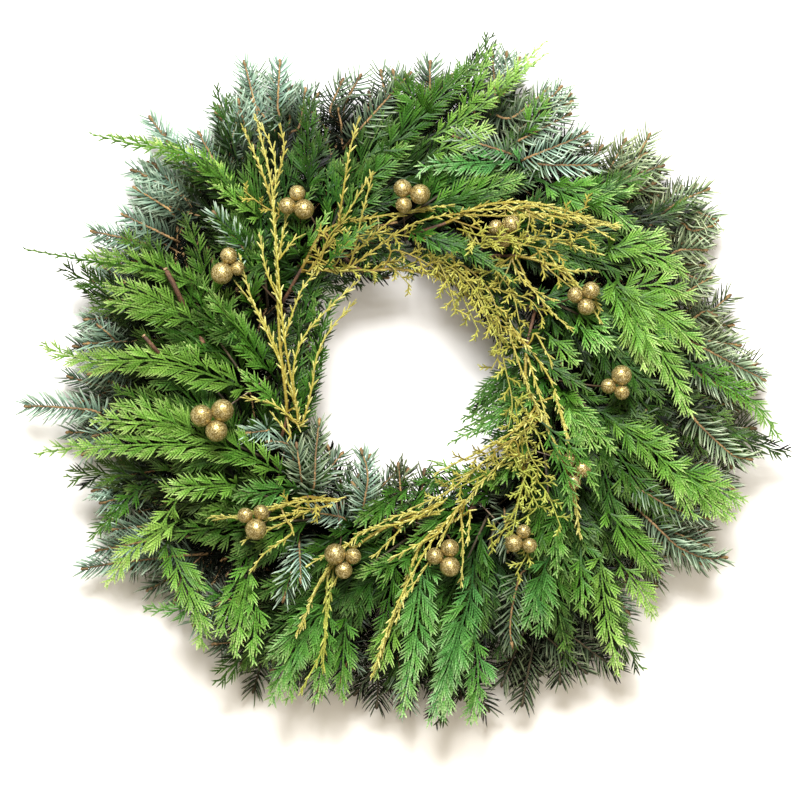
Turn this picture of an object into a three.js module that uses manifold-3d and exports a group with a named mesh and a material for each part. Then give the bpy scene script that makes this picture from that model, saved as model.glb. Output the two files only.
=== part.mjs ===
// A fresh evergreen wreath, lying on its back.
//
// Cut greenery is laid on a wire ring frame, bundle by bundle, and each bundle is bound down with
// winding wire. From the table up, the wreath holds silvery fir branches that reach the rim, a lower
// and an upper layer of flat cedar fronds, golden juniper sprays, and glittered berries in threes.
// Every stem lies along the ring under the winding wire, in the lane of its own layer, and then
// turns out clockwise and climbs to its layer, so the whole wreath swirls clockwise.
//
// Millimetres. +Z is up, out of the wreath's front. The origin is the middle of the ring, in the
// plane that the frame rests on. Angles are degrees, anticlockwise from +X, seen from the front.

import * as THREE from "three";
import { mergeVertices } from "three/addons/utils/BufferGeometryUtils.js";
import Module from "manifold-3d";

const wasm = await Module();
wasm.setup();

// ---------------------------------------------------------------- driving dimensions

// Wire ring frame: two top rails that carry the stems, two lower rails that it rests on.
const TOP_RAIL_RADII = [113, 138];
const LOW_RAIL_RADII = [108, 144];
const RAIL_R = 1.5;
const TOP_RAIL_Z = 16;
const RAIL_STEPS = 18;
const RAIL_SIDES = 4;
const RUNGS = 6;
const FIRST_RUNG = 37.5;

// Bindings: one every 30 degrees, each of two turns of winding wire.
const BINDINGS = 12;
const FIRST_BINDING = 15;
const BINDING_PITCH = 360 / BINDINGS;
const TURN_OFFSET = 1.9;
const WIRE_R = 0.5;

// Stems on the ring: one lane for each layer, the lowest layer outermost.
const STEM_R = 1.7;
const LANE_PITCH = 4.2;
const OUTER_LANE_R = 136;
const LANES = { fir: 0, cedarLow: 1, cedarTop: 2, gold: 3, pick: 4 };
const GAP = 0.4;
const SEAT_Z = TOP_RAIL_Z + RAIL_R + GAP + STEM_R;

// The sweep of the greenery, from its binding to the rim.
const SWEEP = 42;
const CUT_END = 6; // how far ahead of its binding a stem is cut off, in degrees
const TAKE_OFF = 4; // how far past its binding a stem of the fir and upper cedar aims to turn out
const CLEAR_STRETCH = [6, 15]; // the stretch past a binding where a stem may leave its lane
const LAST_START = 24; // a lower frond that would start further past a binding takes the next one
const RIM_R = 320;
const CROWN_R = 150;
const RIM_DROOP = 16;
const RISEN = 0.2; // the share of the way out at which a stem has climbed to its layer

// Heights of the layers over the ring, and the clear planes between them.
const FIR_Z = 27;
const CEDAR_LOW_Z = 51.6;
const FROND_DROP = 2.6;
const CEDAR_TOP_Z = 60;
const FLOOR_CLEAR = 2;
const FIR_TOP = 44;
const CEDAR_LOW_TOP = 54.5;
const CEDAR_TOP_TOP = 65;
const GOLD_TOP = 73;
const SIDE_CLEAR = 1.2;

// The hole, and the edge of what grows inwards over the ring.
const HOLE_R = 77;
const FIR_INNER_EDGE = 115.5;
const CEDAR_INNER_EDGE = 138;

// Past each binding, the clockwise angles at which the berry wire and the juniper stem stand up.
const PICK_RISE = 14.8;
const GOLD_RISE = 17.3;

// Fir: needles of true size in whorls of three, and where along the radius its branches change.
const NEEDLE = 21;
const INNER_NEEDLE = 18;
const NEEDLE_BASE = 1.7;
const WHORL_PITCH = 25;
const SHOOT_SIDES = 3;
const FIR_SIDE_SHOOTS = [
  { forkR: 172, aside: -9.5 },
  { forkR: 165, aside: 9.5 },
];
const FIR_NEEDLES_FROM_R = 184;
const SIDE_SHOOT_R = 1.3;
const INNER_SHOOT_R = 1.2;

// Flat cedar fronds: widths are the length of their longest leaflets.
const FROND_THICK = 1.5;
const FROND_TIP_THICK = 0.8;
const RIB_HALF = 1.5;
const RIB_TAPER = 0.7;
const STEM_LAP = 2;
const LOW_FROND = { fromR: 158, width: 34, pairs: 8, sideWidth: 30, sidePairs: 3 };
const TOP_FROND = { fromR: 144, forkR: 139, width: 32, pairs: 6, innerWidth: 27, innerPairs: 3 };

// Juniper twigs and berry wires.
const WOODY_SIDES = 3;
const NUB_PITCH = 31;
const NUB = 20;
const PICK_WIRE_R = 0.7;
const BALL_LAP = 0.86; // two balls of a cluster stand this share of their radii apart, pressed together

// ---------------------------------------------------------------- what was read off the wreath

// Reach of the three shoots of each fir branch, clockwise one first, from the binding at 15 degrees on.
const FIR_REACH = [
  [285, 306, 298],
  [300, 308, 290],
  [280, 298, 290],
  [285, 268, 262],
  [270, 260, 252],
  [275, 292, 275],
  [295, 275, 285],
  [285, 296, 300],
  [282, 298, 292],
  [278, 288, 285],
  [280, 284, 284],
  [286, 290, 296],
];

// The fir branches that also have a short shoot along the hole's edge.
const FIR_INNER = [0, 2, 4, 6, 7, 8, 9, 10];

// Lower cedar fronds: the angle of the tip at the rim, and its reach.
const CEDAR_LOW = [
  { rim: 349, reach: 334 },
  { rim: 309, reach: 320 },
  { rim: 275, reach: 297 },
  { rim: 238, reach: 306 },
  { rim: 196, reach: 328 },
  { rim: 162, reach: 342 },
  { rim: 123, reach: 296 },
  { rim: 76, reach: 303 },
  { rim: 30, reach: 290 },
];

// Upper cedar fronds: reach of each, from the binding at 15 degrees on.
const CEDAR_TOP_REACH = [262, 240, 236, 232, 226, 238, 256, 248, 240, 250, 262, 270];

// Golden juniper: the binding that each starts from, and where it goes, as x, y and height.
const GOLD = [
  { binding: 7, to: [[-101, -28, 72], [-107, 32, 72], [-110, 112, 72], [-114, 165, 74], [-127, 220, 70]] },
  { binding: 5, to: [[-88, 94, 68.5], [-68, 126, 68.5], [-27, 137, 69], [20, 143, 69]] },
  { binding: 4, to: [[-38, 92, 71], [-8, 93, 69], [38, 82, 67], [76, 46, 60]] },
  { binding: 3, to: [[34, 132, 70], [66, 147, 70], [114, 148, 72], [176, 128, 68]] },
  { binding: 2, to: [[94, 104, 71], [118, 98, 72], [138, 88, 72], [164, 50, 70]] },
  { binding: 1, to: [[102, 24, 70], [103, -10, 70], [122, -46, 70], [138, -84, 70], [147, -132, 66]] },
  { binding: 11, to: [[100, -84, 70], [92, -112, 70], [76, -138, 68]] },
  { binding: 10, to: [[44, -118, 70], [14, -138, 71], [-6, -190, 71], [-26, -246, 66]] },
  { binding: 9, to: [[-14, -124, 70], [-40, -140, 70], [-70, -168, 71], [-92, -214, 68]] },
  { binding: 8, to: [[-84, -100, 70], [-112, -110, 70], [-160, -119, 68]] },
];

// Berry clusters: the binding that each is wired to, and its three balls as x, y and radius.
const BERRIES = [
  { binding: 0, balls: [[171, -6, 6.4], [183, 4, 8.5], [186, -13, 6.4]] },
  { binding: 1, balls: [[143, 71, 6.8], [157, 75, 7.4], [153, 60, 7.2]] },
  { binding: 2, balls: [[76, 128, 6.4], [90, 131, 7.6], [83, 117, 6.5]] },
  { binding: 3, balls: [[-3, 161, 7.6], [12, 156, 8.5], [-2, 146, 6.8]] },
  { binding: 4, balls: [[-92, 157, 6.8], [-102, 144, 7.2], [-85, 140, 8.5]] },
  { binding: 5, balls: [[-150, 104, 7.2], [-157, 86, 9.3], [-140, 89, 6.0]] },
  { binding: 6, balls: [[-173, -31, 9.3], [-152, -26, 9.6], [-158, -46, 9.3]] },
  { binding: 7, balls: [[-127, -127, 9.0], [-137, -114, 6.5], [-122, -111, 6.5]] },
  { binding: 8, balls: [[-60, -148, 9.0], [-43, -150, 6.8], [-52, -163, 7.2]] },
  { binding: 9, balls: [[37, -143, 7.6], [22, -151, 7.2], [37, -161, 8.5]] },
  { binding: 10, balls: [[91, -139, 7.4], [101, -127, 6.0], [106, -141, 6.4]] },
  { binding: 11, balls: [[149, -76, 7.5], [137, -69, 6.5], [142, -86, 6.5]] },
];

// ---------------------------------------------------------------- finishes

const FINISHES = {
  frame: { color: 0x2c4a34, roughness: 0.45, metalness: 0.6 },
  wire: { color: 0x24402c, roughness: 0.5, metalness: 0.6 },
  fir: { color: 0x5f8478, roughness: 0.6, metalness: 0 },
  cedarLow: { color: 0x2f6a2c, roughness: 0.55, metalness: 0 },
  cedarTop: { color: 0x3d7d33, roughness: 0.55, metalness: 0 },
  gold: { color: 0xd2b84a, roughness: 0.6, metalness: 0 },
  berry: { color: 0xb8964e, roughness: 0.4, metalness: 0.7 },
};

// ---------------------------------------------------------------- small tools

const UP = new THREE.Vector3(0, 0, 1);
const rad = THREE.MathUtils.degToRad;
const deg = THREE.MathUtils.radToDeg;
const clamp = THREE.MathUtils.clamp;

function polar(r, angle, z) {
  return new THREE.Vector3(r * Math.cos(rad(angle)), r * Math.sin(rad(angle)), z);
}

const radiusOf = (p) => Math.hypot(p.x, p.y);
const angleOf = (p) => deg(Math.atan2(p.y, p.x));
const turnBetween = (a, b) => THREE.MathUtils.euclideanModulo(a - b + 180, 360) - 180;
const smooth = (x) => THREE.MathUtils.smoothstep(x, 0, 1);
const laneRadius = (lane) => OUTER_LANE_R - lane * LANE_PITCH;
const bindingAngle = (i) => FIRST_BINDING + i * BINDING_PITCH;

// A repeatable random number from 0 to 1.
function seeded(seed) {
  let state = seed * 2654435761;
  return () => {
    state = (state + 0x6d2b79f5) | 0;
    let t = Math.imul(state ^ (state >>> 15), 1 | state);
    t = (t + Math.imul(t ^ (t >>> 7), 61 | t)) ^ t;
    return ((t ^ (t >>> 14)) >>> 0) / 4294967296;
  };
}

// ---------------------------------------------------------------- solids

// Triangles over a list of points, as a geometry.
function geometryOf(points, triangles) {
  const geometry = new THREE.BufferGeometry().setFromPoints(points);
  geometry.setIndex(triangles.flat());
  return geometry;
}

// A closed geometry as a solid for joining.
function solidOf(geometry) {
  const bare = geometry.clone();
  bare.deleteAttribute("normal");
  bare.deleteAttribute("uv");
  const merged = mergeVertices(bare, 1e-3);
  return new wasm.Manifold(
    new wasm.Mesh({
      numProp: 3,
      vertProperties: new Float32Array(merged.attributes.position.array),
      triVerts: new Uint32Array(merged.index.array),
    }),
  );
}

// Several geometries fused into one.
function fuse(geometries) {
  const joined = geometries.map(solidOf).reduce((sum, solid) => sum.add(solid));
  const mesh = joined.getMesh();
  const geometry = new THREE.BufferGeometry();
  geometry.setAttribute("position", new THREE.BufferAttribute(mesh.vertProperties, 3));
  geometry.setIndex(new THREE.BufferAttribute(mesh.triVerts, 1));
  return geometry;
}

// The two directions square to a stem at u: sideways, and upwards.
function squareTo(curve, u) {
  const along = curve.getTangentAt(u);
  const side = new THREE.Vector3().crossVectors(UP, along).normalize();
  return { along, side, up: new THREE.Vector3().crossVectors(along, side) };
}

// Sideways directions along a stem, each carried on from the last, so that a rising stem doesn't twist.
function carriedSides(curve, us) {
  let { side } = squareTo(curve, us[0]);
  return us.map((u) => {
    const along = curve.getTangentAt(u);
    side = side.clone().addScaledVector(along, -side.dot(along)).normalize();
    return side;
  });
}

// Points of one ring round a stem.
function ringAt(curve, u, side, r, sides, turn) {
  const up = new THREE.Vector3().crossVectors(curve.getTangentAt(u), side);
  const centre = curve.getPointAt(u);
  return Array.from({ length: sides }, (_, j) => {
    const a = (2 * Math.PI * (j + turn)) / sides;
    return centre.clone().addScaledVector(side, r * Math.cos(a)).addScaledVector(up, r * Math.sin(a));
  });
}

// A round-ended stem through the shares us of a curve, with a radius at each.
// needleTip(band, side, corners) may raise a facet of the stem into a needle.
function stem(curve, us, radii, sides, needleTip = () => null, turnOf = () => 0) {
  const sideways = carriedSides(curve, us);
  const points = us.flatMap((u, k) => ringAt(curve, u, sideways[k], radii[k], sides, turnOf(k)));
  const triangles = [];
  const at = (k, j) => k * sides + (j % sides);
  for (let k = 0; k + 1 < us.length; k++) {
    for (let j = 0; j < sides; j++) {
      const [a, b, c, d] = [at(k, j), at(k, j + 1), at(k + 1, j + 1), at(k + 1, j)];
      const tip = needleTip(k, j, [a, b, c, d].map((corner) => points[corner]));
      if (tip) {
        const n = points.push(tip) - 1;
        triangles.push([a, b, n], [b, c, n], [c, d, n], [d, a, n]);
      } else if (points[a].distanceTo(points[c]) < points[b].distanceTo(points[d])) {
        triangles.push([a, b, c], [a, c, d]);
      } else {
        triangles.push([a, b, d], [b, c, d]);
      }
    }
  }
  const last = us.length - 1;
  const ends = [curve.getPointAt(us[0]), curve.getPointAt(us[last])];
  ends[0].addScaledVector(curve.getTangentAt(us[0]), -radii[0] / 2);
  ends[1].addScaledVector(curve.getTangentAt(us[last]), radii[last]);
  const tail = points.push(ends[0]) - 1;
  const nose = points.push(ends[1]) - 1;
  for (let j = 0; j < sides; j++) {
    triangles.push([at(0, j + 1), at(0, j), tail], [at(last, j), at(last, j + 1), nose]);
  }
  return geometryOf(points, triangles);
}

// A thin sheet: flat triangles given a top and a bottom, thinner towards the tips.
function sheet(points, triangles, thickness) {
  const half = points.map((_, i) => UP.clone().multiplyScalar(thickness[i] / 2));
  const top = points.map((p, i) => p.clone().add(half[i]));
  const under = points.map((p, i) => p.clone().sub(half[i]));
  const n = points.length;
  const faces = triangles.flatMap(([a, b, c]) => [
    [a, b, c],
    [a + n, c + n, b + n],
  ]);
  const edges = new Map();
  for (const [a, b, c] of triangles) {
    for (const [from, to] of [[a, b], [b, c], [c, a]]) {
      if (!edges.delete(`${to},${from}`)) edges.set(`${from},${to}`, [from, to]);
    }
  }
  for (const [from, to] of edges.values()) {
    faces.push([from, from + n, to + n], [from, to + n, to]);
  }
  return geometryOf([...top, ...under], faces);
}

// ---------------------------------------------------------------- where the greenery may go

const droop = (r) => (r > CROWN_R ? -RIM_DROOP * ((r - CROWN_R) / (RIM_R - CROWN_R)) ** 2 : 0);

// How far round a branch still has to turn at a share of its way out, and at a radius.
const sweepAt = (t) => SWEEP * (1 - t) * Math.abs(1 - t);

function sweepLeft(r, lane) {
  return sweepAt(Math.max((r - laneRadius(lane)) / (RIM_R - laneRadius(lane)), 0) ** (2 / 3));
}

// A branch's own share of the wreath, which its leaves are bent to stay in.
function cellOf({ rim, before, after, lane, low, high, inside = CROWN_R }) {
  return (p) => {
    const r = Math.max(radiusOf(p), inside);
    const middle = rim + sweepLeft(r, lane);
    const edge = deg(SIDE_CLEAR / r);
    const turn = clamp(turnBetween(angleOf(p), middle), -before + edge, after - edge);
    return polar(r, middle + turn, clamp(p.z, low(r), high(r)));
  };
}

// ---------------------------------------------------------------- lines that stems follow

// A smooth line from the cut end, along the ring through its binding, and then out to the rim.
function outwardLine({ binding, lane, rim, reach, height }) {
  const r0 = laneRadius(lane);
  const takeOff = clampTakeOff(rim + SWEEP, binding);
  const shift = turnBetween(takeOff, rim + SWEEP);
  const points = [];
  const cutEnd = bindingAngle(binding) + CUT_END;
  const back = turnBetween(cutEnd, takeOff);
  for (let s = 0; s < 3; s++) points.push(polar(r0, cutEnd - (back * s) / 3, SEAT_Z));
  const last = ((reach - r0) / (RIM_R - r0)) ** (2 / 3);
  const shares = [0, 0.045, 0.09, 0.14, RISEN, 0.32, 0.48, 0.66, 0.84, 1].filter((t) => t < last - 0.05);
  for (const t of [...shares, last]) {
    const r = r0 + (RIM_R - r0) * t ** 1.5;
    const settle = t < 0.4 ? shift * (1 - t / 0.4) ** 2 : 0;
    const angle = rim + sweepAt(t) + settle;
    const z = SEAT_Z + (height - SEAT_Z) * smooth(t / RISEN) + droop(r);
    points.push(polar(r, angle, z));
  }
  return new THREE.CatmullRomCurve3(points, false, "centripetal");
}

// The nearest angle to the wanted one at which a stem may leave its lane, just past its binding.
function clampTakeOff(wanted, binding) {
  const past = turnBetween(bindingAngle(binding), wanted);
  return bindingAngle(binding) - clamp(past, ...CLEAR_STRETCH);
}

// The binding whose clear stretch is nearest to where a branch wants to leave the ring.
function bindingFor(rim) {
  const past = THREE.MathUtils.euclideanModulo(-(rim + SWEEP - FIRST_BINDING), BINDING_PITCH);
  const ahead = Math.round((rim + SWEEP - FIRST_BINDING + past) / BINDING_PITCH);
  return past > LAST_START ? ahead - 1 : ahead;
}

// The share of a curve at a radius, on a branch that only moves outwards.
function shareAtRadius(curve, r) {
  for (let u = 0.05; u < 1; u += 0.005) if (radiusOf(curve.getPointAt(u)) > r) return u;
  return 1;
}

// The share of a curve at which it first reaches a height.
function shareAtHeight(curve, z) {
  for (let u = 0; u < 1; u += 0.005) if (curve.getPointAt(u).z > z) return u;
  return 1;
}

const spread = (from, to, n) => Array.from({ length: n }, (_, i) => from + ((to - from) * i) / (n - 1));

// ---------------------------------------------------------------- fir

// A fir shoot: bare stem up to where its needles start, then whorls of needles out to its bud.
function firShoot(curve, { bareTo, bareRings, cell, random, thick = STEM_R, needle = NEEDLE }) {
  const length = curve.getLength();
  const whorls = Math.max(2, Math.round(((1 - bareTo) * length) / WHORL_PITCH));
  const us = spread(0, bareTo, bareRings);
  const isNeedleBand = us.map(() => false);
  const firstNeedleRing = us.length;
  for (let w = 0; w < whorls; w++) {
    const u = bareTo + ((1 - bareTo) * (w + 0.3)) / whorls;
    us.push(u, Math.min(u + NEEDLE_BASE / length, 1));
    isNeedleBand.push(true, false);
  }
  const radii = us.map((u) => thick * (1 - 0.45 * u));
  const turnOf = (k) => (k < firstNeedleRing ? 0 : (Math.floor((k - firstNeedleRing) / 2) % 2) / 2);
  const needleTip = (k, _, corners) => {
    if (!isNeedleBand[k]) return null;
    const base = corners.reduce((sum, c) => sum.add(c), new THREE.Vector3()).divideScalar(4);
    const { along } = squareTo(curve, us[k]);
    const out = base.clone().sub(curve.getPointAt((us[k] + us[k + 1]) / 2)).normalize();
    const lean = rad(58 - 22 * us[k] + 14 * (random() - 0.5));
    const reach = needle * (0.85 + 0.25 * random());
    const tip = base.clone().addScaledVector(along, reach * Math.cos(lean));
    tip.addScaledVector(out, reach * Math.sin(lean));
    const kept = cell(tip);
    return kept.distanceTo(base) > needle * 0.5 ? kept : null;
  };
  return stem(curve, us, radii, SHOOT_SIDES, needleTip, turnOf);
}

// A side shoot's line: it draws away from the main stem to an angle of its own.
function sideLine(start, { reach, aside, height, rim, lane }) {
  const fromR = radiusOf(start);
  const startTurn = turnBetween(angleOf(start), rim + sweepLeft(fromR, lane));
  const points = [0, 0.2, 0.4, 0.7, 1].map((t) => {
    const r = fromR + (reach - fromR) * t;
    const turn = startTurn * (1 - t) + aside * Math.sin((t * Math.PI) / 2);
    const z = start.z + (height + droop(r) - start.z) * smooth(t * 2.5);
    return polar(r, rim + sweepLeft(r, lane) + turn, z);
  });
  return new THREE.CatmullRomCurve3(points, false, "centripetal");
}

// A fir branch: a main shoot, a side shoot to each side of it, and on some a short inner one.
function firBranch(i) {
  const binding = i;
  const rim = bindingAngle(binding) - SWEEP - TAKE_OFF;
  const random = seeded(11 + i);
  const lane = LANES.fir;
  const half = BINDING_PITCH / 2;
  const cell = cellOf({
    rim, before: half, after: half, lane,
    low: () => FLOOR_CLEAR,
    high: (r) => FIR_TOP + droop(r),
  });
  const [clockwise, middle, other] = FIR_REACH[i];
  const main = outwardLine({ binding, lane, rim, reach: middle, height: FIR_Z });
  const bareTo = shareAtRadius(main, FIR_NEEDLES_FROM_R);
  const shoots = [firShoot(main, { bareTo, bareRings: 7, cell, random })];
  FIR_SIDE_SHOOTS.forEach(({ forkR, aside }, k) => {
    const height = FIR_Z + 6 * (random() - 0.5);
    const start = main.getPointAt(shareAtRadius(main, forkR));
    const line = sideLine(start, { reach: [clockwise, other][k], aside, height, rim, lane });
    shoots.push(firShoot(line, { bareTo: 0.25, bareRings: 2, cell, random, thick: SIDE_SHOOT_R }));
  });
  if (FIR_INNER.includes(i)) shoots.push(firInnerShoot(binding, random));
  return fuse(shoots);
}

// A line given by its radius, its clockwise angle past a binding, and its height.
function lineFrom(binding, points) {
  const places = points.map(([r, past, z]) => polar(r, bindingAngle(binding) - past, z));
  return new THREE.CatmullRomCurve3(places, false, "centripetal");
}

// A share of the hole's edge, which the leaves of one binding are bent to stay in.
function innerCell(binding, { from, to, edge, low, high }) {
  return (p) => {
    const past = clamp(turnBetween(bindingAngle(binding), angleOf(p)), from, to);
    return polar(clamp(radiusOf(p), HOLE_R, edge), bindingAngle(binding) - past, clamp(p.z, low, high));
  };
}

// The twig that crosses over the other stems and runs along the hole's edge.
function firInnerShoot(binding, random) {
  const line = lineFrom(binding, [
    [laneRadius(LANES.fir), 4.2, SEAT_Z],
    [134, 5, 25.4],
    [124, 6.5, 26],
    [112, 10.5, 28],
    [103, 18, 31],
    [95, 26, 33],
    [89, 33, 33],
  ]);
  const cell = innerCell(binding, { from: 8.5, to: 36.5, edge: FIR_INNER_EDGE, low: 24.5, high: FIR_TOP });
  return firShoot(line, {
    bareTo: 0.42, bareRings: 4, cell, random, thick: INNER_SHOOT_R, needle: INNER_NEEDLE,
  });
}

// ---------------------------------------------------------------- cedar

// A flat frond: a rib with a pair of pointed leaflets at each step, cut back to the rib.
function frond(curve, { from, bare = 0, pairs, width, lean = [52, 30], cell }) {
  const points = [];
  const thickness = [];
  const triangles = [];
  const add = (p, t) => {
    thickness.push(t);
    return points.push(p) - 1;
  };
  const step = (1 - from - bare) / (pairs + 1);
  const rib = Array.from({ length: pairs + 1 }, (_, k) => {
    const half = RIB_HALF - (RIB_TAPER * k) / pairs;
    return [1, -1].map((s) => {
      const u = from + bare + step * (k + (s < 0 && k > 0 ? 0.5 : 0));
      const { side } = squareTo(curve, u);
      return add(curve.getPointAt(u).addScaledVector(side, s * half), FROND_THICK);
    });
  });
  for (let k = 0; k < pairs; k++) {
    const [leftA, rightA] = rib[k];
    const [leftB, rightB] = rib[k + 1];
    triangles.push([leftA, rightA, leftB], [rightA, rightB, leftB]);
    const t = k / (pairs - 1 || 1);
    const reach = Math.max(width * Math.sin(Math.PI * (0.2 + 0.8 * t)) ** 0.7, 9);
    const a = rad(lean[0] + (lean[1] - lean[0]) * t);
    for (const s of [1, -1]) {
      const u = from + bare + step * (k + (s > 0 ? 0.5 : 1));
      const { along, side } = squareTo(curve, u);
      const tip = curve.getPointAt(u).addScaledVector(UP, -0.02 * reach);
      tip.addScaledVector(along, reach * Math.cos(a)).addScaledVector(side, s * reach * Math.sin(a));
      const point = add(cell(tip), FROND_TIP_THICK);
      if (s > 0) triangles.push([leftA, leftB, point]);
      else triangles.push([rightB, rightA, point]);
    }
  }
  const end = add(cell(curve.getPointAt(1)), FROND_TIP_THICK);
  const [leftEnd, rightEnd] = rib[pairs];
  triangles.push([leftEnd, rightEnd, end]);
  if (bare > 0) {
    const root = add(curve.getPointAt(from), FROND_THICK);
    triangles.push([rib[0][1], rib[0][0], root]);
  }
  return sheet(points, triangles, thickness);
}

// The woody part of a cedar or juniper stem, up to a share of its line.
function woodyStem(curve, to, rings, thin = 0.9) {
  const us = spread(0, to, rings);
  return stem(curve, us, us.map((u) => STEM_R + ((thin - STEM_R) * u) / to), WOODY_SIDES);
}

// A lower cedar frond: a long one with a shorter one to each side, a little lower.
function cedarLow(row, i) {
  const next = CEDAR_LOW[(i + 1) % CEDAR_LOW.length];
  const last = CEDAR_LOW[(i + CEDAR_LOW.length - 1) % CEDAR_LOW.length];
  const lane = LANES.cedarLow;
  const { rim, reach } = row;
  const cell = cellOf({
    rim, lane,
    before: Math.abs(turnBetween(rim, next.rim)) / 2,
    after: Math.abs(turnBetween(last.rim, rim)) / 2,
    low: (r) => FIR_TOP + droop(r) + 1.4,
    high: (r) => CEDAR_LOW_TOP + droop(r) - 1,
  });
  const line = outwardLine({ binding: bindingFor(rim), lane, rim, reach, height: CEDAR_LOW_Z });
  const { fromR, width, pairs, sideWidth, sidePairs } = LOW_FROND;
  const from = shareAtRadius(line, fromR);
  const sheets = [frond(line, { from, pairs, width, cell })];
  for (const [aside, share, drops] of [[11, 0.84, 1], [-11, 0.88, 2]]) {
    const height = CEDAR_LOW_Z - drops * FROND_DROP;
    const start = line.getPointAt(shareAtHeight(line, height - 0.5));
    const side = sideLine(start, { reach: reach * share, aside, height, rim, lane });
    sheets.push(frond(side, { from: 0, bare: 0.36, pairs: sidePairs, width: sideWidth, cell }));
  }
  return fuse([woodyStem(line, from + STEM_LAP / line.getLength(), 7), ...sheets]);
}

// An upper cedar frond, with a part that runs back over the ring to the hole's edge.
function cedarTop(i) {
  const lane = LANES.cedarTop;
  const half = BINDING_PITCH / 2;
  const rim = bindingAngle(i) - SWEEP - TAKE_OFF;
  const cell = cellOf({
    rim, before: half, after: half, lane, inside: CEDAR_INNER_EDGE + 2,
    low: (r) => CEDAR_LOW_TOP + droop(r) + 1,
    high: (r) => CEDAR_TOP_TOP + droop(r) - 1,
  });
  const line = outwardLine({ binding: i, lane, rim, reach: CEDAR_TOP_REACH[i], height: CEDAR_TOP_Z });
  const { fromR, forkR, width, pairs } = TOP_FROND;
  const from = shareAtRadius(line, fromR);
  return fuse([
    woodyStem(line, from + STEM_LAP / line.getLength(), 6),
    frond(line, { from, pairs, width, cell }),
    cedarInner(i, line.getPointAt(shareAtRadius(line, forkR))),
  ]);
}

function cedarInner(binding, root) {
  const line = lineFrom(binding, [
    [radiusOf(root), turnBetween(bindingAngle(binding), angleOf(root)), root.z],
    [131, 24, CEDAR_TOP_Z],
    [115, 31, CEDAR_TOP_Z],
    [101, 37, CEDAR_TOP_Z - 3],
    [HOLE_R + 3, 41, CEDAR_TOP_Z - 9],
  ]);
  const cell = innerCell(binding, {
    from: 20, to: 42.5, edge: CEDAR_INNER_EDGE, low: FIR_TOP + 2, high: CEDAR_TOP_TOP - 1,
  });
  const { innerPairs, innerWidth } = TOP_FROND;
  return frond(line, { from: 0, bare: 0.2, pairs: innerPairs, width: innerWidth, cell });
}

// ---------------------------------------------------------------- golden juniper

// A juniper spray: it stands up beside its binding and then lies over the cedar.
function goldSpray({ binding, to }) {
  const r = laneRadius(LANES.gold);
  const along = [-6, 0, GOLD_RISE / 2].map((past) => polar(r, bindingAngle(binding) - past, SEAT_Z));
  const upward = [30, 50, 66].map((z) => polar(r, bindingAngle(binding) - GOLD_RISE, z));
  const onward = to.map(([x, y, z]) => new THREE.Vector3(x, y, z));
  const line = new THREE.CatmullRomCurve3([...along, ...upward, ...onward], false, "centripetal");
  const from = shareAtHeight(line, to[0][2] - 0.5);
  const pairs = Math.round(((1 - from) * line.getLength()) / NUB_PITCH) - 1;
  const twigs = frond(line, { from, pairs, width: NUB, lean: [36, 24], cell: (p) => p });
  return fuse([woodyStem(line, from + STEM_LAP / line.getLength(), 8), twigs]);
}

// ---------------------------------------------------------------- berries

// A pick: a wrapped stem on the ring, a wire that stands up from it, and three glittered balls.
function berryCluster({ binding, balls }) {
  const laneR = laneRadius(LANES.pick);
  const centres = balls.map(([x, y, r]) => new THREE.Vector3(x, y, GOLD_TOP + r + 1));
  for (const k of [1, 2]) {
    const away = centres[k].clone().sub(centres[0]);
    centres[k].copy(centres[0]).add(away.setLength(BALL_LAP * (balls[0][2] + balls[k][2])));
  }
  const along = [-5, 0, PICK_RISE / 2].map((past) => polar(laneR, bindingAngle(binding) - past, SEAT_Z));
  const upward = [30, 60, GOLD_TOP + 2].map((z) => polar(laneR, bindingAngle(binding) - PICK_RISE, z));
  const line = new THREE.CatmullRomCurve3([...along, ...upward, centres[0]], false, "centripetal");
  const us = spread(0, 1, 8);
  const wire = stem(line, us, us.map((u) => (u < 0.25 ? STEM_R : PICK_WIRE_R)), 3);
  const spheres = balls.map(([, , r], k) => {
    const ball = new THREE.SphereGeometry(r, 7, 4);
    return ball.translate(centres[k].x, centres[k].y, centres[k].z);
  });
  return fuse([wire, ...spheres]);
}

// ---------------------------------------------------------------- frame and winding wire

// A round rail that the stems lie on.
function topRail(r) {
  const ring = new THREE.TorusGeometry(r, RAIL_R, RAIL_SIDES, RAIL_STEPS);
  ring.translate(0, 0, TOP_RAIL_Z);
  return ring;
}

// A square rail whose flat underside is what the wreath rests on.
function lowRail(r) {
  const h = RAIL_R;
  const section = [[r - h, 0], [r + h, 0], [r + h, 2 * h], [r - h, 2 * h], [r - h, 0]];
  const ring = new THREE.LatheGeometry(section.map(([x, y]) => new THREE.Vector2(x, y)), RAIL_STEPS);
  ring.rotateX(Math.PI / 2);
  return ring;
}

// A rung across the top rails, bent down at both ends to the lower rails.
function rung(angle) {
  const line = [
    [LOW_RAIL_RADII[1], RAIL_R],
    [TOP_RAIL_RADII[1], TOP_RAIL_Z],
    [TOP_RAIL_RADII[0], TOP_RAIL_Z],
    [LOW_RAIL_RADII[0], RAIL_R],
  ];
  return bentWire(line.map(([r, z]) => polar(r, angle, z)), RAIL_R - 0.2);
}

function frame() {
  const parts = [...TOP_RAIL_RADII.map(topRail), ...LOW_RAIL_RADII.map(lowRail)];
  for (let i = 0; i < RUNGS; i++) parts.push(rung(FIRST_RUNG + (i * 360) / RUNGS));
  return fuse(parts);
}

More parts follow.
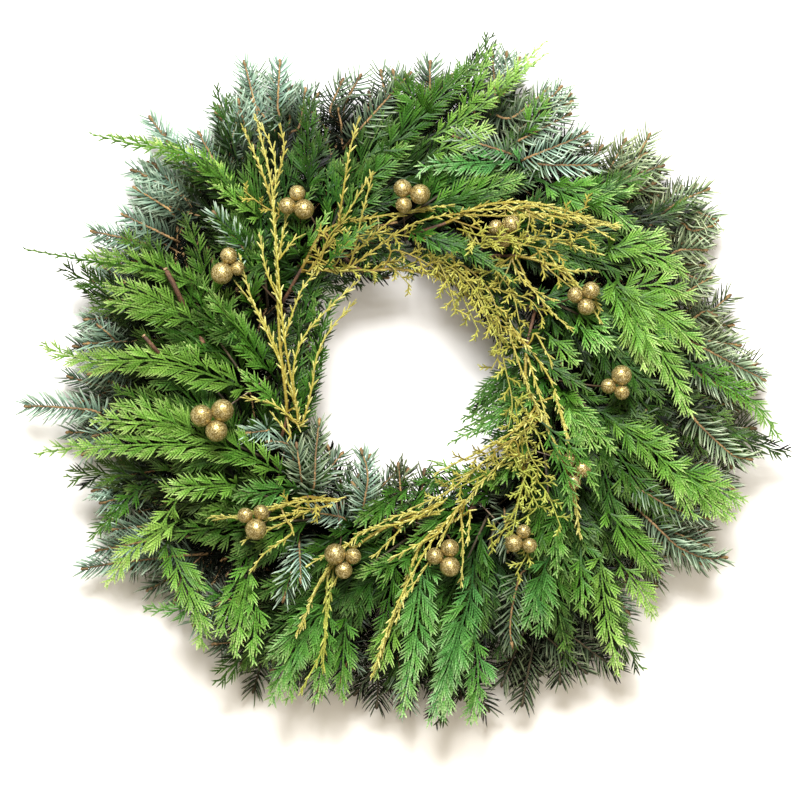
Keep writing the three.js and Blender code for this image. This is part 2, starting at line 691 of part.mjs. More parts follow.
// One wire wound twice round the top rails and the stems at each binding, and on to the next.
function windingWire() {
  const off = RAIL_R + GAP + WIRE_R;
  const inner = TOP_RAIL_RADII[0] - off - 1;
  const outer = TOP_RAIL_RADII[1] + off;
  const under = TOP_RAIL_Z - off;
  const over = SEAT_Z + STEM_R + GAP + WIRE_R;
  const points = [];
  for (let i = 0; i < BINDINGS; i++) {
    for (const turn of [TURN_OFFSET, -TURN_OFFSET]) {
      const a = bindingAngle(BINDINGS - i) + turn;
      points.push(polar(inner, a, under), polar(inner, a, over));
      points.push(polar(outer, a, over), polar(outer, a, under));
    }
  }
  return bentWire(points, WIRE_R);
}

// A wire bent at each point, mitred there.
function bentWire(points, wireR, sides = 3) {
  const rings = points.map((p, k) => {
    const before = points[Math.max(k - 1, 0)];
    const after = points[Math.min(k + 1, points.length - 1)];
    const along = after.clone().sub(before).normalize();
    const round = new THREE.Vector3(-p.y, p.x, 0).normalize();
    const side = round.clone().addScaledVector(along, -round.dot(along)).normalize();
    const up = new THREE.Vector3().crossVectors(along, side);
    return Array.from({ length: sides }, (_, j) => {
      const a = (2 * Math.PI * j) / sides;
      return p.clone().addScaledVector(side, wireR * Math.cos(a)).addScaledVector(up, wireR * Math.sin(a));
    });
  });
  const triangles = [];
  const at = (k, j) => k * sides + (j % sides);
  for (let k = 0; k + 1 < rings.length; k++) {
    for (let j = 0; j < sides; j++) {
      triangles.push([at(k, j), at(k, j + 1), at(k + 1, j + 1)], [at(k, j), at(k + 1, j + 1), at(k + 1, j)]);
    }
  }
  const last = rings.length - 1;
  triangles.push([at(0, 2), at(0, 1), at(0, 0)], [at(last, 0), at(last, 1), at(last, 2)]);
  return geometryOf(rings.flat(), triangles);
}

// ---------------------------------------------------------------- the wreath

const wreath = new THREE.Group();

function lay(name, geometry, finish) {
  const mesh = new THREE.Mesh(geometry, new THREE.MeshStandardMaterial(FINISHES[finish]));
  mesh.name = name;
  wreath.add(mesh);
}

const numbered = (name, i) => `${name}_${String(i + 1).padStart(2, "0")}`;

lay("ring_frame", frame(), "frame");
lay("winding_wire", windingWire(), "wire");
for (let i = 0; i < BINDINGS; i++) lay(numbered("fir_branch", i), firBranch(i), "fir");
CEDAR_LOW.forEach((row, i) => lay(numbered("cedar_lower_frond", i), cedarLow(row, i), "cedarLow"));
for (let i = 0; i < BINDINGS; i++) lay(numbered("cedar_upper_frond", i), cedarTop(i), "cedarTop");
GOLD.forEach((row, i) => lay(numbered("gold_juniper_spray", i), goldSpray(row), "gold"));
BERRIES.forEach((row, i) => lay(numbered("berry_cluster", i), berryCluster(row), "berry"));

export default wreath;
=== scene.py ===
# %% [markdown]
# # A fresh evergreen wreath
#
# Cut greenery is laid on a wire ring, bundle by bundle, and bound down with winding wire. The packed
# model holds every bundle as one plain solid. This lesson grows the real foliage in the same places:
# fir needles, flat cedar fronds, golden juniper and glittered berries. It starts with the model, which
# is in metres, lies on its back and has +Z out of its front.

import bmesh
import bpy
import numpy as np
from mathutils import Matrix, Vector


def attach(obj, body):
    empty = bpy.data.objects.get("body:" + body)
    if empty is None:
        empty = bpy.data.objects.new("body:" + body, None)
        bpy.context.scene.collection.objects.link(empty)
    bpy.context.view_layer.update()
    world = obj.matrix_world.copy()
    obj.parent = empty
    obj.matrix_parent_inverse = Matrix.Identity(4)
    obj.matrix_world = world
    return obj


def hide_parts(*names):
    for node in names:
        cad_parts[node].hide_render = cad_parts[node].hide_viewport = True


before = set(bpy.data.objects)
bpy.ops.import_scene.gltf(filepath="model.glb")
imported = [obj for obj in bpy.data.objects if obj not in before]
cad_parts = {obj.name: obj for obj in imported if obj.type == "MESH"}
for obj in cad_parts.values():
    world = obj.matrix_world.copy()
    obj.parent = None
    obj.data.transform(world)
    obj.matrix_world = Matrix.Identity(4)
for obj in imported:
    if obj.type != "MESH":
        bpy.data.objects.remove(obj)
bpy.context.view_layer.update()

MM = 0.001  # every length below is written in millimetres, and turned to metres in one place

# %% [markdown]
# ## Camera
#
# The photograph looks straight at the front of the wreath, a little below its middle. The wreath lies
# on its back here, so the camera hangs over it and looks down. A long lens from six metres keeps the
# outline flat, as it is in the photograph.

# %% Camera over the wreath
FRAME_WIDTH = 680.0  # what the 800 pixels of the picture's width span, at the height of the foliage
FOLIAGE_Z = 45.0
CAMERA_RISE = 6000.0
PICTURE_MIDDLE = (-5.2, -17.8)  # the place under the middle of the picture
SENSOR = 36.0

camera_data = bpy.data.cameras.new("camera")
camera_data.sensor_width = SENSOR
camera_data.lens = SENSOR * CAMERA_RISE / FRAME_WIDTH
camera = bpy.data.objects.new("camera", camera_data)
camera.location = (PICTURE_MIDDLE[0] * MM, PICTURE_MIDDLE[1] * MM, (FOLIAGE_Z + CAMERA_RISE) * MM)
bpy.context.scene.collection.objects.link(camera)
bpy.context.scene.camera = camera

# %% [markdown]
# ## Light and floor
#
# The photograph was made against a pale wall in soft daylight from the upper left. The wall looks white at
# the top and a warm white lower down, with a faint warm shadow below the foliage. One large soft light
# from the top of the picture, a weak one from the lower right and a warm pale sky from everywhere else
# give the same shadow. The wall's paint turns a little warmer lower down, as painted shade.


# %% Light, sky and floor
def hex_linear(code):
    """An sRGB hex colour as the linear values that Blender works in."""
    srgb = [int(code[i : i + 2], 16) / 255 for i in (1, 3, 5)]
    return (*[c / 12.92 if c <= 0.04045 else ((c + 0.055) / 1.055) ** 2.4 for c in srgb], 1.0)


def soft_light(name, place, size, watts, colour):
    """A square soft light at a place in millimetres, aimed at the wreath's middle."""
    data = bpy.data.lights.new(name, "AREA")
    data.size = size * MM
    data.energy = watts
    data.color = hex_linear(colour)[:3]
    lamp = bpy.data.objects.new(name, data)
    lamp.location = Vector(place) * MM
    lamp.rotation_euler = (-lamp.location).to_track_quat("-Z", "Y").to_euler()
    bpy.context.scene.collection.objects.link(lamp)


LIGHTS = (  # name, place, length of a side, watts and colour
    ("window", (-180, 2100, 2700), 1250, 266, "#FCFCFF"),
    ("room", (900, -600, 2000), 1800, 18, "#FFF6EA"),
)
SKY_COLOUR, SKY_STRENGTH = "#FFEFD4", 0.32
FLOOR_HALF, FLOOR_Z = 4000.0, -0.2

for light in LIGHTS:
    soft_light(*light)

sky = bpy.data.worlds.new("sky")
sky.use_nodes = True
background = sky.node_tree.nodes["Background"]
background.inputs["Color"].default_value = hex_linear(SKY_COLOUR)
background.inputs["Strength"].default_value = SKY_STRENGTH
bpy.context.scene.world = sky
bpy.context.scene.view_settings.view_transform = "Standard"

bm = bmesh.new()
bmesh.ops.create_grid(bm, x_segments=1, y_segments=1, size=FLOOR_HALF * MM)
floor_mesh = bpy.data.meshes.new("floor")
bm.to_mesh(floor_mesh)
bm.free()
floor = bpy.data.objects.new("floor", floor_mesh)
floor.location.z = FLOOR_Z * MM
bpy.context.scene.collection.objects.link(floor)
print("lights:", [light[0] for light in LIGHTS])

# %% [markdown]
# ## Materials
#
# Each leaf carries what its colour depends on as a point attribute called leaf: its age from root to
# tip, a tone that is partly random and partly painted shade, and the hue of the whole frond. A second
# attribute called reach says how many millimetres a point is from the root of its twig, so that scale
# leaves can be drawn at their real pitch. One function adds a node with its settings and links.


# %% Helpers for materials
def add_node(tree, kind, settings=None, **links):
    """Adds a node. Settings are properties or socket values, and links are sockets fed by others."""
    node = tree.nodes.new(kind)
    for name, value in (settings or {}).items():
        if isinstance(name, str) and hasattr(node, name):
            setattr(node, name, value)
        else:
            node.inputs[name].default_value = value
    for name, source in links.items():
        key = int(name[1:]) if name[0] == "i" and name[1:].isdigit() else name.replace("_", " ")
        tree.links.new(source, node.inputs[key])
    return node


def new_material(name, roughness, **sockets):
    """An empty Principled material, and its tree and shader."""
    material = bpy.data.materials.new(name)
    material.use_nodes = True
    shader = material.node_tree.nodes["Principled BSDF"]
    shader.inputs["Roughness"].default_value = roughness
    for socket, value in sockets.items():
        shader.inputs[socket.replace("_", " ")].default_value = value
    return material, material.node_tree, shader


def colour_ramp(tree, source, stops):
    """A ramp through (place, hex colour) stops."""
    ramp = add_node(tree, "ShaderNodeValToRGB", Fac=source)
    while len(ramp.color_ramp.elements) < len(stops):
        ramp.color_ramp.elements.new(0.5)
    for element, (place, code) in zip(ramp.color_ramp.elements, stops):
        element.position = place
        element.color = hex_linear(code)
    return ramp.outputs["Color"]


def blend_colours(tree, share, a, b, how="MIX"):
    """Mixes two colours. A share or a colour may be a value or another node's output."""
    mix = tree.nodes.new("ShaderNodeMix")
    mix.data_type = "RGBA"
    mix.blend_type = how
    for index, value in ((0, share), (6, a), (7, b)):  # where a colour mix has its factor, A and B
        if isinstance(value, bpy.types.NodeSocket):
            tree.links.new(value, mix.inputs[index])
        else:
            mix.inputs[index].default_value = value
    return mix.outputs[2]


def noise(tree, size, detail):
    """Cloudy noise, fixed to the wreath. Its patches are about a size in millimetres across."""
    place = add_node(tree, "ShaderNodeTexCoord").outputs["Object"]
    cloud = add_node(tree, "ShaderNodeTexNoise", {"Scale": 1 / (size * MM), "Detail": detail}, Vector=place)
    return cloud.outputs["Fac"]


def dent(tree, shader, height, strength, depth):
    """Bumps the surface where a height value is high, as if by a depth in millimetres."""
    bump = add_node(tree, "ShaderNodeBump", {"Strength": strength, "Distance": depth * MM}, Height=height)
    tree.links.new(bump.outputs["Normal"], shader.inputs["Normal"])


def leaf_values(tree):
    """What the leaf attribute holds: age from root to tip, tone and hue."""
    leaf = add_node(tree, "ShaderNodeAttribute", {"attribute_name": "leaf"})
    parts = add_node(tree, "ShaderNodeSeparateColor", Color=leaf.outputs["Color"])
    return [parts.outputs[name] for name in ("Red", "Green", "Blue")]


def toned(tree, colour, tone, dark, middle):
    """Darkens a colour by its tone (random and painted shade): 0 is dark, 0.5 the middle, 1 leaves it as it
    is.
    """
    shade = colour_ramp(tree, tone, [(0.0, dark), (0.5, middle), (1.0, "#FFFFFF")])
    return blend_colours(tree, 1.0, colour, shade, "MULTIPLY")

# %% [markdown]
# Cedar and juniper both have scale leaves, which hug the twig like roof tiles. A dip, and a dark line
# of painted shade, at the foot of each leaf repeat at the leaves' real pitch along the twig.


# %% Scale leaves
LEAF_DEPTH, LEAF_DENT = 0.3, 0.7
GAP_SHARE = 0.3  # the share of a leaf over which the painted shade at its foot fades


def scale_leaves(tree, shader, pitch, colour, foot_shade):
    """A colour darkened by painted shade at the foot of each scale leaf, and a dip in the surface there."""
    reach = add_node(tree, "ShaderNodeAttribute", {"attribute_name": "reach"})
    turns = add_node(tree, "ShaderNodeMath", {"operation": "DIVIDE", 1: pitch}, i0=reach.outputs["Fac"])
    share = add_node(tree, "ShaderNodeMath", {"operation": "FRACT"}, i0=turns.outputs[0]).outputs[0]
    dent(tree, shader, share, LEAF_DENT, LEAF_DEPTH)
    foot = colour_ramp(tree, share, [(0.0, foot_shade), (GAP_SHARE, "#FFFFFF")])
    return blend_colours(tree, 1.0, colour, foot, "MULTIPLY")


def scale_leaf(name, roughness, specular, colours, middle_age, shade, pitch, foot_shade):
    """Foliage of scale leaves. The hue picks between three ramps, each from root to tip."""
    material, tree, shader = new_material(name, roughness, Specular_IOR_Level=specular)
    age, tone, hue = leaf_values(tree)
    ramps = [colour_ramp(tree, age, list(zip((0.0, middle_age, 1.0), codes))) for codes in colours]
    colour = ramps[0]
    for low, ramp in zip((0.0, 0.5), ramps[1:]):
        share = add_node(tree, "ShaderNodeMapRange", {1: low, 2: low + 0.5}, i0=hue)
        colour = blend_colours(tree, share.outputs[0], colour, ramp)
    colour = scale_leaves(tree, shader, pitch, toned(tree, colour, tone, *shade), foot_shade)
    tree.links.new(colour, shader.inputs["Base Color"])
    return material

# %% [markdown]
# Cedar carries flat sprays of scale leaves with a satin, waxy skin. The foot of each spray is dark and
# the new growth at the tips is lighter and yellower. Fronds differ from a bluish green to a yellow
# green, so the hue picks between three ramps. The tone darkens, as painted shade, what grows low down.


# %% Cedar leaf
CEDAR_LEAF_PITCH = 2.4
CEDAR_COLOURS = (  # root, middle and tip of a bluish, a green and a yellow green frond
    ("#183C20", "#52904E", "#C6DEB8"),
    ("#224610", "#649A36", "#D2E896"),
    ("#3C5E20", "#92B852", "#ECF2B0"),
)


def cedar_leaf():
    return scale_leaf("cedar scale leaf, waxy", 0.45, 0.12, CEDAR_COLOURS, 0.45, ("#080F07", "#9CAC8C"),
                      CEDAR_LEAF_PITCH, "#A2AC90")

# %% [markdown]
# Fir needles are covered in a silvery bloom of wax, most of it on the older blue-green needles. The
# bloom scatters light, so the needles are rougher than the cedar, and it has worn off in patches.


# %% Fir needle
BLOOM_PATCH = 28.0  # about how large the patches are where the bloom is whole, or worn off


def fir_needle():
    material, tree, shader = new_material("fir needle, silver bloom", 0.6, Specular_IOR_Level=0.08)
    age, tone, hue = leaf_values(tree)
    green = colour_ramp(tree, age, [(0.0, "#46583A"), (0.5, "#8E9C70"), (1.0, "#DADCB4")])
    silver = colour_ramp(tree, age, [(0.0, "#527262"), (0.5, "#A2C0AA"), (1.0, "#E8F2E2")])
    bloom = add_node(tree, "ShaderNodeMath", {"operation": "MULTIPLY_ADD", 1: 0.9, 2: -0.45},
                     i0=noise(tree, BLOOM_PATCH, 2.0))
    share = add_node(tree, "ShaderNodeMath", {"operation": "ADD", "use_clamp": True},
                     i0=bloom.outputs[0], i1=hue)
    colour = blend_colours(tree, share.outputs[0], green, silver)
    colour = toned(tree, colour, tone, "#10120E", "#A8AA9C")
    tree.links.new(colour, shader.inputs["Base Color"])
    return material

# %% [markdown]
# Golden juniper is a garden form whose scale leaves are pale yellow in the light, ochre where they are
# shaded or old, and lime on the youngest sprigs.


# %% Golden juniper leaf
JUNIPER_LEAF_PITCH = 2.2
JUNIPER_COLOURS = (  # root, middle and tip of a pale, an ochre and a lime twig
    ("#A08434", "#D2CC62", "#F2F2AC"),
    ("#7C5E28", "#A69646", "#CCC868"),
    ("#7C8428", "#AEC04A", "#D2E082"),
)


def juniper_leaf():
    return scale_leaf("golden juniper scale leaf", 0.5, 0.4, JUNIPER_COLOURS, 0.4, ("#4A4424", "#CCC9A8"),
                      JUNIPER_LEAF_PITCH, "#BEBE90")

# %% [markdown]
# Young bark is brown, rough from the pegs that old needles leave, and darker where it is older. A peg is
# about a millimetre and a half across. Buds have the same brown.


# %% Bark
PEG_PITCH, BARK_PATCH, PEG_HEIGHT = 1.6, 14.0, 0.5


def twig_bark(name, young, old):
    material, tree, shader = new_material(name, 0.75)
    pegs = noise(tree, PEG_PITCH, 4.0)
    base = colour_ramp(tree, noise(tree, BARK_PATCH, 2.0), [(0.3, old), (0.7, young)])
    grain = colour_ramp(tree, pegs, [(0.3, "#8C8078"), (0.7, "#FFFFFF")])
    tree.links.new(blend_colours(tree, 1.0, base, grain, "MULTIPLY"), shader.inputs["Base Color"])
    dent(tree, shader, pegs, 0.8, PEG_HEIGHT)
    return material

# %% [markdown]
# The berries are plastic balls rolled in champagne glitter: flat metal flakes, half a millimetre
# across, that lie at every angle. A cell pattern gives each flake its own tilt and tone. It is drawn
# at 0.7 mm, a little coarser than real, so that it shows in the picture.


# %% Glitter and wire
GLITTER_PITCH, GLITTER_DEPTH = 0.7, 0.25
WEAR_PATCH = 6.0  # of the enamel on the wires
WALL_WHITE_Y, WALL_SHADED_Y = 300.0, -420.0  # where the wall paint is white, and where it is painted a warm shade


def champagne_glitter():
    material, tree, shader = new_material("champagne glitter on plastic", 0.42, Metallic=0.8)
    place = add_node(tree, "ShaderNodeTexCoord")
    flakes = add_node(tree, "ShaderNodeTexVoronoi", {"Scale": 1 / (GLITTER_PITCH * MM)},
                      Vector=place.outputs["Object"])
    tones = add_node(tree, "ShaderNodeSeparateColor", Color=flakes.outputs["Color"])
    colour = colour_ramp(tree, tones.outputs["Red"], [(0.0, "#6E6030"), (0.5, "#A48E4E"), (1.0, "#E0D4A2")])
    tree.links.new(colour, shader.inputs["Base Color"])
    dent(tree, shader, tones.outputs["Green"], 0.5, GLITTER_DEPTH)
    return material


def enamelled_wire(name, colour, worn):
    """Steel wire in enamel, which is worn to a paler tone in patches."""
    material, tree, shader = new_material(name, 0.38, Metallic=0.25)
    wear = colour_ramp(tree, noise(tree, WEAR_PATCH, 5.0), [(0.5, colour), (0.72, worn)])
    tree.links.new(wear, shader.inputs["Base Color"])
    return material


def wall_paint():
    material, tree, shader = new_material("pale matt wall paint", 0.9)
    place = add_node(tree, "ShaderNodeTexCoord")
    parts = add_node(tree, "ShaderNodeSeparateXYZ", Vector=place.outputs["Object"])
    down = add_node(tree, "ShaderNodeMapRange", {1: WALL_WHITE_Y * MM, 2: WALL_SHADED_Y * MM},
                    i0=parts.outputs["Y"])
    # painted shade: the paint turns a little warmer and darker lower down
    colour = colour_ramp(tree, down.outputs[0], [(0.0, "#FCFCFC"), (1.0, "#FAF6EC")])
    tree.links.new(colour, shader.inputs["Base Color"])
    return material


CEDAR, NEEDLE, JUNIPER, FIR_BARK, CEDAR_AND_SHADED_BARK, JUNIPER_BARK, GLITTER, PICK_WIRE, FRESH_CUT = range(9)
FINISHES = [
    cedar_leaf(),
    fir_needle(),
    juniper_leaf(),
    twig_bark("fir twig bark", "#B8965E", "#745C3E"),
    # cedar bark, darker than it is, as painted shade on stems deep in the wreath; fir shoots in the shade
    # use it too
    twig_bark("cedar twig bark, darkened with painted shade", "#5A4E2E", "#34301E"),
    twig_bark("juniper twig bark", "#8A6240", "#584030"),
    champagne_glitter(),
    enamelled_wire("brown pick wire", "#4A3A28", "#7A6A50"),
    twig_bark("fresh cut wood", "#DCC49C", "#B8966A"),
]
floor_mesh.materials.append(wall_paint())
print("finishes:", ", ".join(m.name for m in FINISHES))

# %% [markdown]
# ## Templates
#
# Needles, twiglets and stems are repeated thousands of times, so each is modelled once with a few
# dozen faces. A template runs from its root at x = 0 to its tip at x = 1. It starts as a cone of the
# right number of sides, is cut across where it needs rings, and each ring is then scaled. How far it
# rises towards its tip is kept apart, because that goes with its length and not with its width.


# %% Model a template
def template(sides, cuts, width, lift=0.0, flat=1.0):
    """A pointed shape along X. width gives the share of its half width at x, lift its rise at the tip."""
    bm = bmesh.new()
    turned = Matrix.Translation((0.5, 0, 0)) @ Matrix.Rotation(np.pi / 2, 4, "Y")
    bmesh.ops.create_cone(bm, cap_ends=True, segments=sides, radius1=1, radius2=1, depth=1, matrix=turned)
    for x in cuts:
        everything = bm.verts[:] + bm.edges[:] + bm.faces[:]
        bmesh.ops.bisect_plane(bm, geom=everything, plane_co=(x, 0, 0), plane_no=(1, 0, 0))
    far = [v for v in bm.verts if v.co.x > 0.999]  # the cone's tip, which comes as a tiny disc
    bmesh.ops.pointmerge(bm, verts=far, merge_co=(1, 0, 0))
    for v in bm.verts:
        v.co.y *= width(v.co.x)
        v.co.z *= width(v.co.x) * flat
    bmesh.ops.triangulate(bm, faces=bm.faces[:])
    bmesh.ops.recalc_face_normals(bm, faces=bm.faces[:])
    points, faces = points_and_faces(bm)
    return points, lift * points[:, 0] ** 2, faces


def points_and_faces(bm):
    """The points and faces of a bmesh as arrays, for copying."""
    bm.verts.index_update()
    points = np.array([v.co for v in bm.verts])
    faces = np.array([[v.index for v in f.verts] for f in bm.faces])
    bm.free()
    return points, faces


def needle_width(x):
    return 0.8 if x < 0.1 else 1.0 - 0.35 * x


def twig_width(x):
    """A scale twig swells in its middle and comes to a blunt point."""
    return (0.62 + 0.38 * np.sin(np.pi * min(x + 0.25, 1.0))) * (1.0 if x < 0.95 else 0.4)


NEEDLES = [template(3, (0.3, 0.8), needle_width, lift) for lift in (0.08, 0.17, 0.27)]
TWIGLETS = [template(3, (0.6,), twig_width, lift, flat=0.5) for lift in (-0.06, 0.03, 0.12)]
AXIS = template(3, (0.35, 0.7), lambda x: 1.0 - 0.7 * x, flat=0.6)
LONG_AXIS = template(3, tuple(np.linspace(0.1, 0.97, 10)), lambda x: 1.0 - 0.5 * x, flat=0.6)
STEM = template(6, tuple(np.linspace(0.05, 0.96, 20)), lambda x: 1.0)
NUB = template(4, (0.45, 0.85), twig_width, 0.05, flat=0.8)
print("faces of a needle, twiglet, axis, stem and nub:",
      [len(t[2]) for t in (NEEDLES[0], TWIGLETS[0], AXIS, STEM, NUB)])

# %% [markdown]
# ## Lines that stems follow
#
# A branch is a smooth line through a few points. At every place along it there are three directions:
# along the stem, sideways, and up from the wreath. Leaves and side twigs are set out from those.


# %% Smooth lines
class Line:
    """A smooth line through points in millimetres, with a direction, a side and an up everywhere."""

    def __init__(self, points, roll=0.0, samples=8):
        p = np.array(points, float)
        p = np.vstack([2 * p[0] - p[1], p, 2 * p[-1] - p[-2]])
        t = np.linspace(0, 1, samples, endpoint=False)[:, None]
        spans = []
        for a, b, c, d in zip(p, p[1:], p[2:], p[3:]):
            bend = (2 * a - 5 * b + 4 * c - d) * t**2 + (3 * b - a - 3 * c + d) * t**3
            spans.append(0.5 * (2 * b + (c - a) * t + bend))
        self.points = np.vstack([*spans, p[-2:-1]])
        steps = np.linalg.norm(np.diff(self.points, axis=0), axis=1)
        self.reach = np.concatenate([[0], np.cumsum(steps)])
        self.length = self.reach[-1]
        self.roll = np.radians(roll)

    def at(self, reach):
        """Place, direction, side and up at distances along the line."""
        reach = np.atleast_1d(reach)
        ask = lambda s: np.stack([np.interp(s, self.reach, self.points[:, k]) for k in range(3)], 1)
        place = ask(reach)
        along = unit(ask(np.minimum(reach + 2, self.length)) - ask(np.maximum(reach - 2, 0)))
        side = unit(np.cross([0, 0, 1], along))
        up = np.cross(along, side)
        c, s = np.cos(self.roll), np.sin(self.roll)
        return place, along, c * side + s * up, c * up - s * side

    def reach_at_radius(self, r):
        """How far along the line it first comes to a distance from the wreath's middle."""
        out = np.hypot(self.points[:, 0], self.points[:, 1]) >= r
        out[: len(out) // 10] = False
        return self.reach[np.argmax(out)] if out.any() else self.length

    def cut_back(self, by, stops, roll=0.0):
        """The line again, but shorter at its tip, since the last leaves stand out past it."""
        return Line(self.at(np.linspace(0, self.length - by, stops))[0], roll=roll, samples=3)


def unit(v):
    return v / np.maximum(np.linalg.norm(v, axis=-1, keepdims=True), 1e-9)

# %% [markdown]
# ## Bundles
#
# One bundle gathers all the copies of templates that belong to one node of the model, and then makes
# them one mesh. Copies are placed by whole arrays at a time, because a wreath has about a hundred
# thousand. A bundle also keeps the lines of its stems, so that smaller shoots can be grown from them.


# %% Gather copies into one piece
DEEP_Z, OPEN_Z = 38.0, 65.0  # painted shade: foliage is painted dark below the one height, and in full light above the other
RIM_FROM_R, RIM_OPEN_R = 220.0, 270.0  # out here the painted shade lifts at any height
# the darkest tone that the painted shade leaves
DEEPEST_TONE = 0.02
FLOOR_CLEAR = 1.0  # how far the lowest needles stay off the floor
ROUNDED = (FIR_BARK, CEDAR_AND_SHADED_BARK, JUNIPER_BARK, GLITTER, PICK_WIRE)  # finishes with smooth faces


def painted_light_share(place):
    """Painted shade: 1 where foliage is in the open, and less deep in the wreath, where it lies in shade."""
    height = smooth((place[..., 2] - DEEP_Z) / (OPEN_Z - DEEP_Z))
    outside = smooth((np.hypot(place[..., 0], place[..., 1]) - RIM_FROM_R) / (RIM_OPEN_R - RIM_FROM_R))
    return DEEPEST_TONE + (1 - DEEPEST_TONE) * np.maximum(height, outside)


def smooth(x):
    x = np.clip(x, 0, 1)
    return x * x * (3 - 2 * x)


def hand_in(name, mesh, nodes):
    """Makes an object of a finished mesh, which stands for nodes of the model."""
    piece = bpy.data.objects.new(name, mesh)
    bpy.context.scene.collection.objects.link(piece)
    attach(piece, "root")
    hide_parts(*nodes)


class Bundle:
    """All the copies of templates that belong to one node, and the lines of its stems."""

    def __init__(self, seed):
        self.random = np.random.default_rng(seed)
        self.points, self.faces, self.finish, self.leaf, self.reach = [], [], [], [], []
        self.count = 0
        self.stems = []

    def put(self, points, faces, finish, age, tone, hue, reach):
        """Adds n copies: points is n by vertices by 3, and the rest fits it."""
        n, v, _ = points.shape
        offsets = self.count + v * np.arange(n)[:, None, None]
        self.points.append(points.reshape(-1, 3))
        self.faces.append((faces[None] + offsets).reshape(-1, 3))
        self.finish.append(np.full(n * len(faces), finish))
        fit = lambda a: np.clip(np.broadcast_to(a, (n, v)), 0, None).reshape(-1)
        self.leaf.append(np.stack([fit(age), fit(tone), fit(hue), np.ones(n * v)], 1))
        self.reach.append(fit(reach))
        self.count += n * v

    def stamp(self, shape, finish, place, along, up, length, width,
              age=(0, 1), hue=0.5, tone=0.5, vary=0.15):
        """Copies of a template at places, each turned, stretched to its length and given its width."""
        points, lift, faces = shape
        side = unit(np.cross(up, along))
        up = np.cross(along, side)
        length = np.broadcast_to(length, len(place))[:, None, None]
        width = np.broadcast_to(width, len(place))[:, None, None]
        x, y, z = (points[None, :, k : k + 1] for k in range(3))
        rise = z * width / 2 + lift[None, :, None] * length
        moved = place[:, None] + x * length * along[:, None]
        moved = moved + y * width / 2 * side[:, None] + rise * up[:, None]
        low, high = (np.broadcast_to(a, len(place))[:, None] for a in age)
        share = points[None, :, 0]
        # each copy's tone varies at random, and is then darkened with painted shade deep in the wreath
        tones = (tone + self.random.uniform(-vary, vary, (len(place), 1))) * painted_light_share(place)[:, None]
        hues = np.broadcast_to(hue, len(place))[:, None]
        self.put(moved, faces, finish, low + (high - low) * share, tones, hues, share * length[:, :, 0])

    def bend(self, shape, finish, line, start, end, radii, age=(0, 1), hue=0.5, tone=0.5):
        """One copy of a template bent along a stretch of a line."""
        points, _, faces = shape
        reach = start + (end - start) * points[:, 0]
        place, _, side, up = line.at(reach)
        r = (radii[0] + (radii[1] - radii[0]) * points[:, 0])[:, None]
        moved = place + points[:, 1:2] * r * side + points[:, 2:3] * r * up
        ages = age[0] + (age[1] - age[0]) * points[:, 0]
        # painted shade deep in the wreath
        tones = tone * painted_light_share(place)
        self.put(moved[None], faces, finish, ages[None], tones[None], hue, reach[None])

    def piece(self, name, slot, nodes):
        """The bundle as one Blender object that stands for nodes of the model."""
        points = np.vstack(self.points)
        points[:, 2] = np.maximum(points[:, 2], FLOOR_CLEAR)
        faces = np.vstack(self.faces)
        finish = np.concatenate(self.finish)
        used, material_index = np.unique(finish, return_inverse=True)
        mesh = bpy.data.meshes.new(name)
        mesh.vertices.add(len(points))
        mesh.vertices.foreach_set("co", (points * MM).ravel())
        mesh.loops.add(3 * len(faces))
        mesh.loops.foreach_set("vertex_index", faces.ravel().astype(np.int32))
        mesh.polygons.add(len(faces))
        mesh.polygons.foreach_set("loop_start", np.arange(0, 3 * len(faces), 3, dtype=np.int32))
        for finish_number in used:
            mesh.materials.append(FINISHES[finish_number])
        mesh.polygons.foreach_set("material_index", material_index.astype(np.int32))
        mesh.polygons.foreach_set("use_smooth", np.isin(finish, ROUNDED))
        leaf = mesh.attributes.new("leaf", "FLOAT_COLOR", "POINT")
        leaf.data.foreach_set("color", np.vstack(self.leaf).ravel())
        reach = mesh.attributes.new("reach", "FLOAT", "POINT")
        reach.data.foreach_set("value", np.concatenate(self.reach))
        mesh.update()
        mesh.validate()
        hand_in(name, mesh, nodes)
        return len(faces)


def pieces(bundles, node, ending, slot):
    """Makes a piece of each bundle, which is named for its node, and counts the triangles."""
    names = [f"{node}_{i + 1:02d}" for i in range(len(bundles))]
    counts = [bundle.piece(f"{name}_{ending}", slot, [name]) for name, bundle in zip(names, bundles)]
    print(node, "triangles:", sum(counts), "most in a piece:", max(counts))

# %% [markdown]
# ## The swirl
#
# Each stem lies along the ring through its binding, in the lane of its layer, then turns out clockwise
# and climbs to its layer. These are the model's own driving dimensions, so that the foliage grows where
# the model's solids are. Angles are degrees, anticlockwise from +X, seen from the front.

# %% Driving dimensions of the wreath
BINDINGS, FIRST_BINDING, BINDING_PITCH = 12, 15.0, 30.0
OUTER_LANE_R, LANE_PITCH = 136.0, 4.2
SEAT_Z = 19.6  # height of the stems' middles, which rest on the top rails
STEM_R = 1.7
SWEEP = 42.0  # how far a branch swings round on its way from the ring to the rim
CUT_END, TAKE_OFF = 6.0, 4.0  # angle of a stem's cut end before its binding, and of its turn after it
RIM_R, CROWN_R, HOLE_R = 320.0, 150.0, 77.0
RIM_DROOP = 16.0
FIR_Z, CEDAR_LOW_Z, CEDAR_TOP_Z, GOLD_TOP = 27.0, 51.6, 60.0, 73.0
FIR_LANE, CEDAR_LOW_LANE, CEDAR_TOP_LANE, GOLD_LANE, PICK_LANE = range(5)
LEAST_PAST, MOST_PAST = 6, 15  # degrees that a stem may run on past its binding
ROUTE_STOPS = (0, 0.045, 0.09, 0.14, 0.2, 0.32, 0.48, 0.66, 0.84, 1)  # shares of the way to the rim
SIDE_STOPS = (0, 0.2, 0.4, 0.7, 1)  # the same for a side branch
